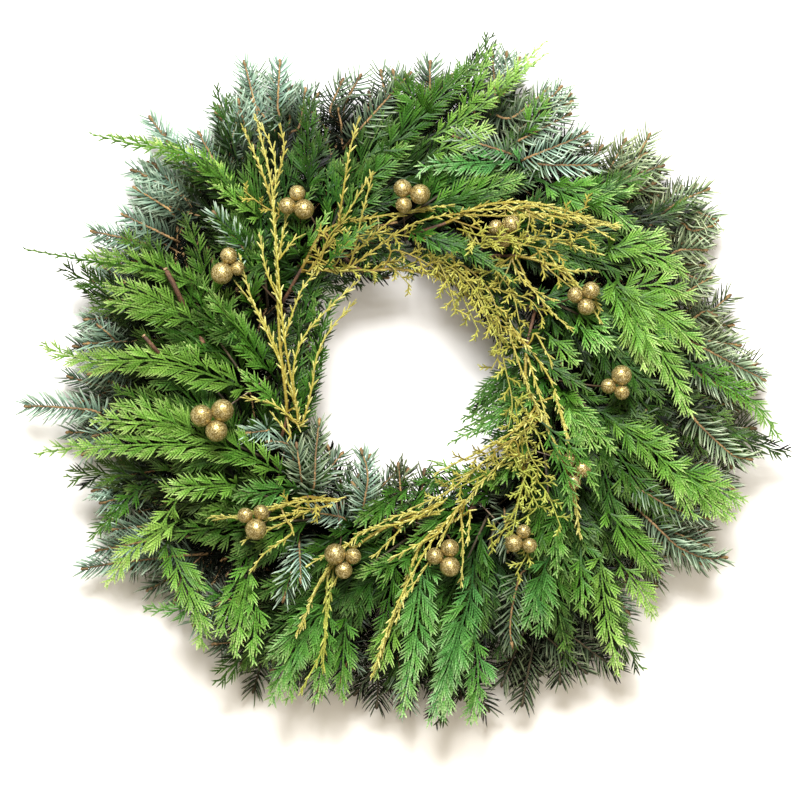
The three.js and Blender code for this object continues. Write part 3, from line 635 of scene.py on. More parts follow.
SETTLED, CLIMBED = 0.4, 0.2  # shares by which a stem is on its own curve, and at its height


def polar(r, angle, z):
    a = np.radians(angle)
    return np.array([r * np.cos(a), r * np.sin(a), z])


def lane_radius(lane):
    return OUTER_LANE_R - lane * LANE_PITCH


def binding_angle(i):
    return FIRST_BINDING + i * BINDING_PITCH


def turn_between(a, b):
    return (a - b + 180) % 360 - 180


def angle_of(p):
    return np.degrees(np.arctan2(p[1], p[0]))


def radius_of(p):
    return np.hypot(p[0], p[1])


def droop(r):
    """The wreath is a low dome: it falls away towards the rim."""
    return -RIM_DROOP * (max(r - CROWN_R, 0) / (RIM_R - CROWN_R)) ** 2


def sweep_left(r, lane):
    """How far round a branch still has to turn at a radius before it reaches its angle at the rim."""
    t = (max(r - lane_radius(lane), 0) / (RIM_R - lane_radius(lane))) ** (2 / 3)
    return SWEEP * (1 - t) * abs(1 - t)


def outward_points(binding, lane, rim, reach, height):
    """A stem from its cut end, along the ring through its binding, and then out to the rim."""
    r0 = lane_radius(lane)
    past = np.clip(turn_between(binding_angle(binding), rim + SWEEP), LEAST_PAST, MOST_PAST)
    take_off = binding_angle(binding) - past
    shift = turn_between(take_off, rim + SWEEP)
    cut_end = binding_angle(binding) + CUT_END
    back = turn_between(cut_end, take_off)
    points = [polar(r0, cut_end - back * s / 3, SEAT_Z) for s in range(3)]
    last = ((reach - r0) / (RIM_R - r0)) ** (2 / 3)
    for t in [stop for stop in ROUTE_STOPS if stop < last - 0.05] + [last]:
        r = r0 + (RIM_R - r0) * t**1.5
        settle = shift * max(1 - t / SETTLED, 0) ** 2
        angle = rim + SWEEP * (1 - t) * abs(1 - t) + settle
        points.append(polar(r, angle, SEAT_Z + (height - SEAT_Z) * smooth(t / CLIMBED) + droop(r)))
    return points


def past_binding(i, stops):
    """Points from their radius, their angle past a binding, and their height."""
    return [polar(r, binding_angle(i) - past, z) for r, past, z in stops]


def rising_points(i, lane, back, rise, heights):
    """A stem that lies along the ring through its binding, and then rises straight up."""
    r = lane_radius(lane)
    flat = [(r, past, SEAT_Z) for past in (-back, 0, rise / 2)]
    return past_binding(i, flat + [(r, rise, z) for z in heights])


def side_points(main, fork_r, reach, aside, height, rim, lane):
    """A side branch that draws away from the main stem to an angle of its own."""
    start = main.at(main.reach_at_radius(fork_r))[0][0]
    from_r = radius_of(start)
    start_turn = turn_between(angle_of(start), rim + sweep_left(from_r, lane))
    points = []
    for t in SIDE_STOPS:
        r = from_r + (reach - from_r) * t
        turn = start_turn * (1 - t) + aside * np.sin(t * np.pi / 2)
        z = start[2] + (height + droop(r) - start[2]) * smooth(t * 2.5)
        points.append(polar(r, rim + sweep_left(r, lane) + turn, z))
    return points

# %% [markdown]
# ## Shoots seen in the photograph
#
# Most of the shoots that show were read off the photograph, as the pixels that they pass from root to
# tip. A pixel and a height give one point in the camera's view. Each shoot grows from the stem that
# lies best behind its root, so it is carried by its own bundle also when seen from the side.

# %% From pixels to shoots
PICTURE_SIZE = 800
ASIDE_COST, SHORT_COST = 2.5, 4  # a stem aside of the root or too near it costs more than one far behind
RISE_SHARE = 0.2  # how much a shoot arches on its way up from its stem


def seen_at(pixel, z):
    """The point at a height that the picture shows at a pixel."""
    depth = FOLIAGE_Z + CAMERA_RISE - z
    pitch = FRAME_WIDTH / PICTURE_SIZE * depth / CAMERA_RISE
    x = PICTURE_MIDDLE[0] + (pixel[0] - PICTURE_SIZE / 2) * pitch
    y = PICTURE_MIDDLE[1] + (PICTURE_SIZE / 2 - pixel[1]) * pitch
    return np.array([x, y, z])


def grown_from(bundles, pixels, height, least=12.0, sunk=0.0):
    """The bundle that best carries a shoot, and the line from its stem to the shoot's tip.

    least is how far behind the first pixel the stem should be, and sunk lowers the shoot's root.
    """
    points = []
    for k, pixel in enumerate(pixels):
        drop = sunk * (1 - k / (len(pixels) - 1)) ** 3
        flat = seen_at(pixel, height)
        points.append(seen_at(pixel, height - drop + droop(radius_of(flat))))
    ahead = unit((points[1] - points[0])[:2])
    best = None
    for bundle in bundles:
        for stem in bundle.stems:
            away = points[0][:2] - stem.points[:, :2]
            forward = away @ ahead
            aside = np.abs(away[:, 0] * ahead[1] - away[:, 1] * ahead[0])
            cost = np.abs(forward) + ASIDE_COST * aside + SHORT_COST * np.maximum(least - forward, 0)
            k = int(np.argmin(cost))
            if best is None or cost[k] < best[0]:
                best = (cost[k], bundle, stem.points[k])
    middle = (best[2] + points[0]) / 2 + [0, 0, RISE_SHARE * abs(points[0][2] - best[2][2])]
    return best[1], Line([best[2], middle, *points])

# %% [markdown]
# ## Fir
#
# A fir shoot is a straight twig with needles all round it, about one for each millimetre. Each needle
# leans forward, more so towards the bud, and curves a little. They are parted above the twig, so that
# its bark shows. A branch is a main shoot with side shoots, and each of them carries short twigs, so
# that it looks like a flat brush.


# %% Fir shoot
NEEDLE_LENGTH = 21.0
NEEDLE_WIDTH = 1.7
NEEDLES_PER_MM = 1.0
SEEN_PER_MM = 1.05  # on the shoots that show
GOLDEN_ANGLE = 137.5  # degrees between a needle and the next
BUD_LENGTH, BUD_WIDTH = 7.0, 4.0
SHADED_TONE = 0.2  # of foliage that lies in the shade of the rest
PARTING = 0.5  # how far aside a needle stands at least
UNDERSIDE_SHADE = 0.22  # painted shade: how much darker the lowest needles are, and painted light: how much lighter the highest
ROOT_LEAN, TIP_LEAN = 66, 36  # degrees between a needle and its twig
TWIG_ANGLE, TWIG_LIFT = 44, 0.15  # degrees between two twigs, and the rise of the highest
TWIG_STOPS = (0, 0.35, 0.7, 1.0)


def fir_shoot(bundle, line, start, radius, hue, tone, per_mm=NEEDLES_PER_MM, needle=NEEDLE_LENGTH):
    """Clothes a line with needles from a reach on, and ends it in a bud and a star of needles."""
    random = bundle.random
    end = line.length
    # shoots in the shade get the darker bark, as painted shade
    bark = FIR_BARK if tone > SHADED_TONE else CEDAR_AND_SHADED_BARK
    bundle.bend(STEM, bark, line, 0, end, (radius * 1.15, radius * 0.7))
    n = max(int((end - start) * per_mm), 12)
    reach = start + (end - start) * (np.arange(n) + random.random(n)) / n
    place, along, side, up = line.at(reach)
    turn = np.radians(GOLDEN_ANGLE * np.arange(n) + random.normal(0, 8, n))[:, None]
    aside = np.copysign(np.maximum(np.abs(np.cos(turn)), PARTING), np.cos(turn))
    out = unit(aside * side + (0.4 * np.sin(turn) + 0.1) * up)
    # painted shade under the twig and painted light above it, by each needle's turn
    tone = np.clip(tone, 0.05, 1) + UNDERSIDE_SHADE * np.sin(turn)
    share = ((reach - start) / (end - start))[:, None]
    lean = np.radians(ROOT_LEAN - (ROOT_LEAN - TIP_LEAN) * share**3 + random.normal(0, 5, (n, 1)))
    direction = unit(np.cos(lean) * along + np.sin(lean) * out)
    lengths = needle * (1 - 0.2 * share[:, 0] ** 4) * random.uniform(0.75, 1.1, n)
    kind = random.integers(0, len(NEEDLES), n)
    for k, shape in enumerate(NEEDLES):
        chosen = kind == k
        bundle.stamp(shape, NEEDLE, place[chosen], direction[chosen], along[chosen], lengths[chosen],
                     NEEDLE_WIDTH, (0.0, 0.8), hue, tone[chosen], 0.12)
    tip, along, side, up = line.at(end)
    bundle.stamp(NUB, bark, tip - along * 2, along, up, BUD_LENGTH, BUD_WIDTH)


def twigs_beside(bundle, line, start, every, length, radius, hue, tone):
    """Short side twigs in pairs along a shoot, each a shoot of its own. Some of them rise."""
    random = bundle.random
    reach = start + every * 0.5
    while reach < line.length - length * 0.4:
        for sign in (1, -1):
            place, along, side, up = (a[0] for a in line.at(reach + random.uniform(-5, 5)))
            a = np.radians(TWIG_ANGLE + random.normal(0, 6))
            left = length * random.uniform(0.7, 1.2) * (1 - 0.3 * reach / line.length)
            steps = np.array(TWIG_STOPS)[:, None]
            away = np.sin(a) * steps * (1 - 0.15 * steps) * sign
            rise = random.normal(0, 0.08) + TWIG_LIFT * random.random()
            points = place + left * (np.cos(a) * steps * along + away * side + rise * steps * up)
            own = (hue + random.normal(0, 0.1), tone + random.normal(0, 0.08))
            fir_shoot(bundle, Line(points, samples=4), left * 0.1, radius, *own)
        reach += every

# %% [markdown]
# The reach of each branch was read off the wreath: some stop short and others stand out past the rim.
# The fir at the upper left is pale blue-green, and that at the lower right is toned nearly black by painted
# shade.

# %% Fir branches
FIR_REACH = [
    (285, 306, 298), (300, 308, 290), (280, 298, 290), (262, 258, 262), (270, 260, 252), (275, 292, 275),
    (295, 275, 285), (285, 296, 300), (282, 298, 292), (278, 288, 285), (280, 284, 284), (286, 290, 296),
]
FIR_LOOK = [  # hue and tone of each branch; the tone is partly painted shade
    (0.3, 0.75), (0.2, 0.8), (0.25, 0.75), (0.5, 0.7), (0.8, 0.8), (0.95, 0.9),
    (0.95, 0.9), (0.9, 0.8), (0.75, 0.75), (0.6, 0.6), (0.3, 0.35), (0.4, 0.5),
]
BASE_FIR_SHADE = 0.36  # painted shade: how much darker a branch is than the shoots that stand out over it
FIR_NEEDLES_FROM_R, FIR_TWIGS_FROM_R = 136.0, 150
FIR_FORKS = ((172, -9.5), (165, 9.5))  # radius where a side branch leaves, and its angle aside
MAIN_TWIGS, FORK_TWIGS = (21, 52, 1.0), (23, 46, 0.9)  # pitch, length and radius of side twigs
FIR_INNER = (0, 2, 4, 6, 7, 8, 9, 10)  # branches with a shoot at the hole's edge
INNER_ROUTE = (  # radius, angle past the binding and height
    (OUTER_LANE_R, 4.2, SEAT_Z), (134, 5, 25.4), (124, 6.5, 26), (112, 10.5, 28), (103, 18, 31),
    (95, 26, 33), (89, 33, 33),
)
INNER_NEEDLE = 14
SIDE_TWIG_R, THIN_TWIG_R = 1.3, 1.2
RING_COVER = (  # radius, turn and height of the shoots that hide the ring
    (178, 22, 30), (162, 26, 32), (148, 18, 34), (133, 24, 36), (120, 14, 34),
    (206, 12, 27), (192, 30, 29), (172, 6, 27), (156, 36, 29), (185, 16, 24),
)


def fir_branch(i):
    bundle = Bundle(100 + i)
    random = bundle.random
    rim = binding_angle(i) - SWEEP - TAKE_OFF
    clockwise, middle, other = FIR_REACH[i]
    hue, tone = FIR_LOOK[i]
    tone -= BASE_FIR_SHADE
    main = Line(outward_points(i, FIR_LANE, rim, middle - 10, FIR_Z))
    bundle.stems.append(main)
    fir_shoot(bundle, main, main.reach_at_radius(FIR_NEEDLES_FROM_R), STEM_R, hue, tone)
    twigs_beside(bundle, main, main.reach_at_radius(FIR_TWIGS_FROM_R), *MAIN_TWIGS, hue, tone)
    for (fork_r, aside), reach in zip(FIR_FORKS, (clockwise, other)):
        height = FIR_Z + random.uniform(0, 5)
        line = Line(side_points(main, fork_r, reach - 10, aside, height, rim, FIR_LANE))
        bundle.stems.append(line)
        fir_shoot(bundle, line, 8, SIDE_TWIG_R, hue, tone)
        twigs_beside(bundle, line, 10, *FORK_TWIGS, hue, tone)
    if i in FIR_INNER:
        inner = Line(past_binding(i, INNER_ROUTE))
        # painted shade: the shoot at the hole's edge is a little darker
        fir_shoot(bundle, inner, inner.length * 0.3, THIN_TWIG_R, hue, tone - 0.15, needle=INNER_NEEDLE)
    # the shoots that hide the ring are darker still, as painted shade deep in the wreath
    for to_r, past, z in RING_COVER:
        halfway = (OUTER_LANE_R + to_r) / 2
        route = ((OUTER_LANE_R, past - 12, SEAT_Z + 6), (halfway, past, z), (to_r, past + 16, z + 4))
        fir_shoot(bundle, Line(past_binding(i, route)), 4, THIN_TWIG_R, hue, tone - 0.2)
    return bundle

# %% [markdown]
# These are the shoots that stand out, in groups of one look. Those at the rim lie low, and the others
# have come up between the cedar fronds and lie over them.

# %% Fir shoots that show
RIM_FIR_Z, RAISED_FIR_Z, INNER_FIR_Z, STAR_FIR_Z = 42.0, 61.0, 52.0, 68.0
FIR_SEEN = [  # hue, tone (partly painted shade), height, and the pixels from root to tip
    (0.95, 0.85, RIM_FIR_Z,
     ((268, 122), (249, 96)), ((258, 118), (243, 57)), ((278, 110), (280, 56)), ((233, 157), (219, 114)),
     ((218, 168), (196, 128)), ((173, 147), (147, 113)), ((215, 221), (134, 195)), ((175, 180), (127, 169)),
     ((144, 243), (87, 230)), ((230, 150), (240, 105)), ((300, 125), (306, 84)), ((190, 205), (150, 160)),
     ((165, 235), (118, 212)), ((260, 150), (226, 118)), ((200, 185), (160, 190)), ((190, 170), (160, 128)),
     ((246, 130), (237, 95)), ((180, 195), (138, 172)), ((290, 120), (288, 84)), ((170, 210), (130, 185))),
    (0.9, 0.8, RIM_FIR_Z,
     ((149, 340), (80, 344)), ((110, 335), (94, 322)), ((96, 411), (34, 406), (22, 410)),
     ((106, 433), (89, 437)), ((139, 494), (96, 504)), ((168, 557), (103, 565), (78, 570)),
     ((150, 300), (100, 300)), ((150, 395), (105, 380)), ((160, 470), (110, 478)), ((160, 525), (108, 530)),
     ((225, 600), (190, 628)), ((122, 370), (84, 375)), ((150, 540), (92, 552)), ((150, 480), (88, 492)),
     ((140, 315), (80, 320))),
    (0.6, 0.75, RIM_FIR_Z,
     ((351, 92), (363, 71)), ((341, 123), (336, 102)), ((430, 87), (430, 58)), ((330, 110), (345, 75)),
     ((400, 100), (392, 66)), ((470, 90), (464, 62)), ((500, 95), (508, 48)), ((385, 95), (380, 66)),
     ((495, 90), (492, 48)), ((505, 92), (522, 54))),
    (0.15, 0.85, RIM_FIR_Z,
     ((584, 173), (605, 142)), ((620, 168), (651, 152)), ((641, 190), (660, 180)),
     ((651, 225), (675, 204), (713, 187)), ((694, 231), (719, 223)), ((690, 290), (715, 275)),
     ((706, 311), (720, 318)), ((612, 165), (628, 135)), ((680, 250), (711, 250)), ((692, 338), (745, 346)),
     ((630, 172), (652, 130)), ((625, 178), (668, 164)), ((690, 210), (722, 222)), ((688, 275), (710, 284))),
    (0.35, 0.95, RAISED_FIR_Z - 4,
     ((705, 349), (732, 363), (768, 382)), ((693, 418), (734, 456), (755, 458)), ((700, 375), (745, 400))),
    (0.6, 0.65, RAISED_FIR_Z,
     ((658, 528), (680, 548), (710, 559), (730, 556)), ((641, 490), (675, 509), (712, 520))),
    (0.5, 0.6, RIM_FIR_Z,
     ((668, 530), (712, 548)), ((665, 545), (705, 566)), ((640, 550), (662, 576)), ((690, 470), (738, 492)),
     ((610, 590), (632, 618))),
    (0.25, 0.15, RIM_FIR_Z,
     ((562, 629), (622, 674)), ((532, 650), (525, 688), (521, 710)), ((550, 640), (590, 676)),
     ((520, 640), (500, 690)), ((588, 618), (622, 646)), ((560, 650), (560, 688))),
    (0.8, 0.6, RIM_FIR_Z,
     ((361, 603), (341, 638), (351, 660)), ((345, 655), (356, 672)), ((398, 660), (408, 713)),
     ((350, 650), (337, 689)), ((300, 620), (290, 660)), ((260, 610), (240, 650))),
    (0.6, 0.75, RAISED_FIR_Z,
     ((361, 128), (413, 70)), ((524, 126), (574, 92)), ((500, 150), (450, 135)), ((520, 140), (574, 112)),
     ((512, 118), (552, 86)), ((530, 122), (576, 100)), ((535, 115), (564, 84))),
    (0.85, 0.85, RAISED_FIR_Z,
     ((529, 157), (572, 140), (590, 130)), ((244, 249), (211, 209)), ((545, 165), (600, 165)),
     ((341, 517), (305, 511)), ((300, 560), (301, 586)), ((290, 575), (282, 605)), ((290, 445), (263, 441)),
     ((270, 430), (242, 434))),
    (0.55, 0.5, RAISED_FIR_Z, ((522, 572), (513, 603), (510, 631), (513, 651)), ((505, 520), (508, 555))),
    (0.8, 0.8, INNER_FIR_Z,
     ((300, 465), (310, 430)), ((320, 480), (345, 450)), ((350, 490), (372, 452)), ((376, 492), (402, 466)),
     ((475, 500), (505, 480))),
    (0.45, 0.65, STAR_FIR_Z, ((314, 488), (316, 450), (320, 416)), ((300, 470), (296, 440))),
    (0.85, 0.8, STAR_FIR_Z - 6, ((364, 502), (368, 475), (360, 446)), ((372, 505), (350, 480))),
    (0.3, 0.35, STAR_FIR_Z - 8,
     ((402, 505), (398, 460)), ((392, 500), (410, 466)), ((420, 505), (425, 466))),
    (0.8, 0.35, INNER_FIR_Z, ((622, 440), (650, 405)), ((640, 440), (672, 422))),
    (0.3, 0.15, INNER_FIR_Z,
     ((285, 430), (302, 380)), ((288, 400), (308, 348)), ((290, 362), (314, 312)), ((296, 330), (320, 288)),
     ((298, 410), (314, 362)), ((448, 262), (482, 300)), ((486, 300), (508, 350)), ((350, 262), (385, 268))),
]
FEATURE_SEED = 700
RAISED_NEEDLE = 0.88  # how long needles are on a raised shoot, as a share of those at the rim

fir = [fir_branch(i) for i in range(BINDINGS)]
shaker = np.random.default_rng(FEATURE_SEED)
for hue, tone, height, *shoots in FIR_SEEN:
    for pixels in shoots:
        bundle, line = grown_from(fir, pixels, height + shaker.uniform(-4, 4))
        needle = NEEDLE_LENGTH * (1.0 if height == RIM_FIR_Z else RAISED_NEEDLE)
        line = line.cut_back(needle / 3, 9)
        fir_shoot(bundle, line, line.length * 0.15, THIN_TWIG_R, hue, tone, SEEN_PER_MM, needle)
pieces(fir, "fir_branch", "needles_and_twigs", "fir_needles")

# %% [markdown]
# ## Cedar
#
# A cedar frond is a flat spray. Its side axes stand on both sides by turns and curve forward. A long
# side axis is a narrow plume with sprays of its own, and a short one carries a comb of thin twiglets.
# One function makes a frond of any size by calling itself for the plumes.


# %% Cedar frond
SPRAY_PITCH = 3.9  # between two sprays of a narrow plume, on either side by turns
PITCH_BY_WIDTH = 0.07  # what each millimetre of a frond's width adds to that
COMB_PITCH = 2.7
TWIGLET_WIDTH = 2.1
PLUME_FROM = 33.0  # a side axis longer than this is a plume
LEAST_SPRAY = 4.5
SPRAY_ANGLE, TWIGLET_ANGLE = 36, 25  # degrees, where they leave the axis at its root
THICK_AXIS, THIN_AXIS, AXIS_TIP = 1.3, 0.9, 1.5


def curving_line(place, along, side, up, length, open_by, rise, steps=5):
    """A side axis that leaves at an angle and curves forward."""
    share = np.linspace(0, 1, steps)
    angle = open_by * (1 - 0.4 * share)
    heading = np.cos(angle)[:, None] * along + np.sin(angle)[:, None] * side + rise * up
    path = np.cumsum(unit(heading)[:-1] * length / (steps - 1), axis=0)
    return Line(place + np.vstack([np.zeros(3), path]), samples=2)


def cedar_frond(bundle, line, start, width, hue, tone, age=0.0):
    """A flat frond along a line. Width is the length of its longest side axes."""
    random = bundle.random
    span = line.length - start
    radii = (THICK_AXIS if width > PLUME_FROM else THIN_AXIS, AXIS_TIP)
    bundle.bend(LONG_AXIS, CEDAR, line, max(start - 6, 0), line.length, radii, (0.0, 0.8), hue, tone)
    n = max(int(span / (SPRAY_PITCH + PITCH_BY_WIDTH * width)), 4)
    for k in range(n):
        share = (k + 0.5 + random.uniform(-0.15, 0.15)) / n
        place, along, side, up = (a[0] for a in line.at(start + span * share))
        sign = 1 if k % 2 else -1
        profile = (0.5 + 0.5 * smooth(share / 0.25)) * (1 - share) ** 0.55
        length = max(width * profile * random.uniform(0.8, 1.18), LEAST_SPRAY)
        open_by = np.radians(random.normal(SPRAY_ANGLE, 4) - 12 * share)
        side_line = curving_line(place, along, sign * side, up, length, open_by, random.normal(-0.03, 0.06))
        own = (hue + random.normal(0, 0.05), tone + random.normal(0, 0.09), age + 0.3 * share)
        if length > PLUME_FROM:
            side_line.roll = random.normal(0, 0.2)
            cedar_frond(bundle, side_line, length * 0.08, 10 + 0.24 * length, *own)
        else:
            comb(bundle, side_line, *own)


def comb(bundle, line, hue, tone, age):
    """A spray: its axis, and twiglets on both sides that grow shorter towards the tip."""
    random = bundle.random
    length = line.length
    bundle.bend(AXIS, CEDAR, line, 0, length, (1.1, 0.8), (age, age + 0.55), hue, tone)
    n = int(length / COMB_PITCH)
    if n < 2:
        return
    reach = length * (0.1 + 0.78 * (np.arange(n) + 0.5) / n)
    root, ahead, across, normal = line.at(reach)
    sign = np.where(np.arange(n) % 2, 1.0, -1.0)[:, None]
    share = reach / length
    lean = np.radians(TWIGLET_ANGLE - 9 * share[:, None] + random.normal(0, 3, (n, 1)))
    lift = random.normal(-0.02, 0.07, (n, 1))
    direction = unit(np.cos(lean) * ahead + np.sin(lean) * sign * across + lift * normal)
    lengths = (min(6.5, 0.7 * length) + 0.42 * length * (1 - share)) * random.uniform(0.8, 1.2, n)
    facing = unit(normal + random.normal(0, 0.2, (n, 3)))
    shape = TWIGLETS[random.integers(0, len(TWIGLETS))]
    bundle.stamp(shape, CEDAR, root, direction, facing, lengths, TWIGLET_WIDTH,
                 (age + 0.1 + 0.2 * share, age + 0.5 + 0.2 * share), hue, tone, 0.1)

# %% [markdown]
# The lower fronds are the long ones whose tips make the rim, and they lie in the shade of the rest.
# Their angles and reaches were read off the wreath, and so was the hue of each: 0 is a bluish green,
# 0.5 a mid green and 1 a yellow green.

# %% Lower cedar fronds
CEDAR_LOW = [  # angle of the tip, reach, hue
    (349, 334, 0.5), (309, 320, 0.5), (275, 297, 0.3), (238, 306, 0.5), (196, 302, 0.7),
    (162, 310, 0.5), (123, 296, 0.35), (76, 303, 0.4), (30, 290, 0.45),
]
LOW_SIDES = (  # side fronds: angle aside, share of the reach, rise, and radius where they leave
    (11, 0.84, -2.6, 150), (-11, 0.88, -5.2, 144), (5.5, 0.72, 2.5, 158), (-5.5, 0.68, 3.5, 162),
)
LOW_FROM_R, LOW_WIDTH, LOW_SIDE_WIDTH = 140, 58, 42
FROND_STEM = (STEM_R, 0.9)  # radius at the cut end, and where the scale leaves begin


def binding_for(rim):
    """The binding whose clear stretch is nearest to where a branch wants to leave the ring."""
    past = -(rim + SWEEP - FIRST_BINDING) % BINDING_PITCH
    ahead = round((rim + SWEEP - FIRST_BINDING + past) / BINDING_PITCH)
    return ahead - 1 if past > 24 else ahead


def cedar_low(rim, reach, hue, seed):
    bundle = Bundle(seed)
    random = bundle.random
    main = Line(outward_points(binding_for(rim), CEDAR_LOW_LANE, rim, reach - 2, CEDAR_LOW_Z))
    bundle.stems.append(main)
    start = main.reach_at_radius(LOW_FROM_R)
    bundle.bend(STEM, CEDAR_AND_SHADED_BARK, main, 0, start + 60, FROND_STEM)
    cedar_frond(bundle, main, start, LOW_WIDTH, hue, SHADED_TONE)
    for aside, share, rise, fork_r in LOW_SIDES:
        height = CEDAR_LOW_Z + rise
        points = side_points(main, fork_r, reach * share, aside, height, rim, CEDAR_LOW_LANE)
        line = Line(points, roll=random.normal(0, 12))
        bundle.stems.append(line)
        look = (hue + random.normal(0, 0.08), SHADED_TONE + random.uniform(0, 0.15))
        cedar_frond(bundle, line, 6, LOW_SIDE_WIDTH, *look)
    return bundle


low_cedar = [cedar_low(*row, 200 + i) for i, row in enumerate(CEDAR_LOW)]

# %% Upper cedar fronds
CEDAR_TOP = [  # reach, hue
    (262, 0.5), (240, 0.45), (236, 0.4), (232, 0.35), (226, 0.35), (238, 0.4), (256, 0.5), (248, 0.55),
    (240, 0.45), (250, 0.35), (262, 0.4), (270, 0.5),
]
TOP_SIDES = ((10, 0.88, -1, 140), (-10, 0.92, -2, 142))  # like those of the lower fronds
TOP_FROM_R, TOP_WIDTH, TOP_SIDE_WIDTH = 138, 46, 38
# painted shade on the upper fronds, lighter than on the lower
TOP_TONE = SHADED_TONE + 0.15
BACK_FROM_R, BACK_WIDTH = 139, 22  # the sprigs that run back over the ring to the hole's edge
BACK_STOPS = (  # radius, angle past the binding, share of a sprig's own spread, and drop
    (131, 24, 0, 0), (115, 31, 0.5, 0), (101, 37, 1, -3),
)
BACK_END_R, BACK_END = HOLE_R + 4, (41, 1, -9)  # the last stop, whose radius differs
COVER = (  # radius and angle past the binding where a cover sprig starts and ends, and its height
    ((138, 12), (152, 40), 50), ((134, 8), (128, 36), 46), ((138, 16), (168, 44), 48),
)
COVER_WIDTH = 20


def cedar_top(i, reach, hue):
    bundle = Bundle(300 + i)
    random = bundle.random
    rim = binding_angle(i) - SWEEP - TAKE_OFF
    main = Line(outward_points(i, CEDAR_TOP_LANE, rim, reach - 2, CEDAR_TOP_Z))
    bundle.stems.append(main)
    start = main.reach_at_radius(TOP_FROM_R)
    bundle.bend(STEM, CEDAR_AND_SHADED_BARK, main, 0, start + 40, FROND_STEM)
    cedar_frond(bundle, main, start, TOP_WIDTH, hue, TOP_TONE)
    for aside, share, rise, fork_r in TOP_SIDES:
        height = CEDAR_TOP_Z + rise
        points = side_points(main, fork_r, reach * share, aside, height, rim, CEDAR_TOP_LANE)
        line = Line(points, roll=random.normal(0, 14))
        bundle.stems.append(line)
        cedar_frond(bundle, line, 4, TOP_SIDE_WIDTH, hue + random.normal(0, 0.08), TOP_TONE)
    root = main.at(main.reach_at_radius(BACK_FROM_R))[0][0]
    root_past = turn_between(binding_angle(i), angle_of(root))
    for spread, edge, rise in ((0, random.uniform(0, 8), 0), (-9, random.uniform(4, 14), 2), (8, 3, -3)):
        stops = [(radius_of(root), root_past, root[2])]
        for r, past, share, drop in (*BACK_STOPS, (BACK_END_R + edge, *BACK_END)):
            stops.append((r, past + share * spread, CEDAR_TOP_Z + drop + rise))
        line = Line(past_binding(i, stops), roll=random.normal(0, 10))
        bundle.stems.append(line)
        cedar_frond(bundle, line, 8, BACK_WIDTH, hue, SHADED_TONE)
    # cover sprigs are darker still, as painted shade over the ring
    for (r, past), (to_r, to_past), height in COVER:
        stops = [(r, past, SEAT_Z + 6), ((r + to_r) / 2, (past + to_past) / 2, height)]
        stops.append((to_r, to_past, height + 4))
        cedar_frond(bundle, Line(past_binding(i, stops)), 4, COVER_WIDTH, hue, SHADED_TONE - 0.1)
    return bundle


top_cedar = [cedar_top(i, *row) for i, row in enumerate(CEDAR_TOP)]

# %% [markdown]
# These are the fronds that stand out over the shaded ones. Most are pale at the tips, and each has its
# own hue, width and tone, partly painted shade. Two older twigs among them were sawn off, and their bare
# ends show.

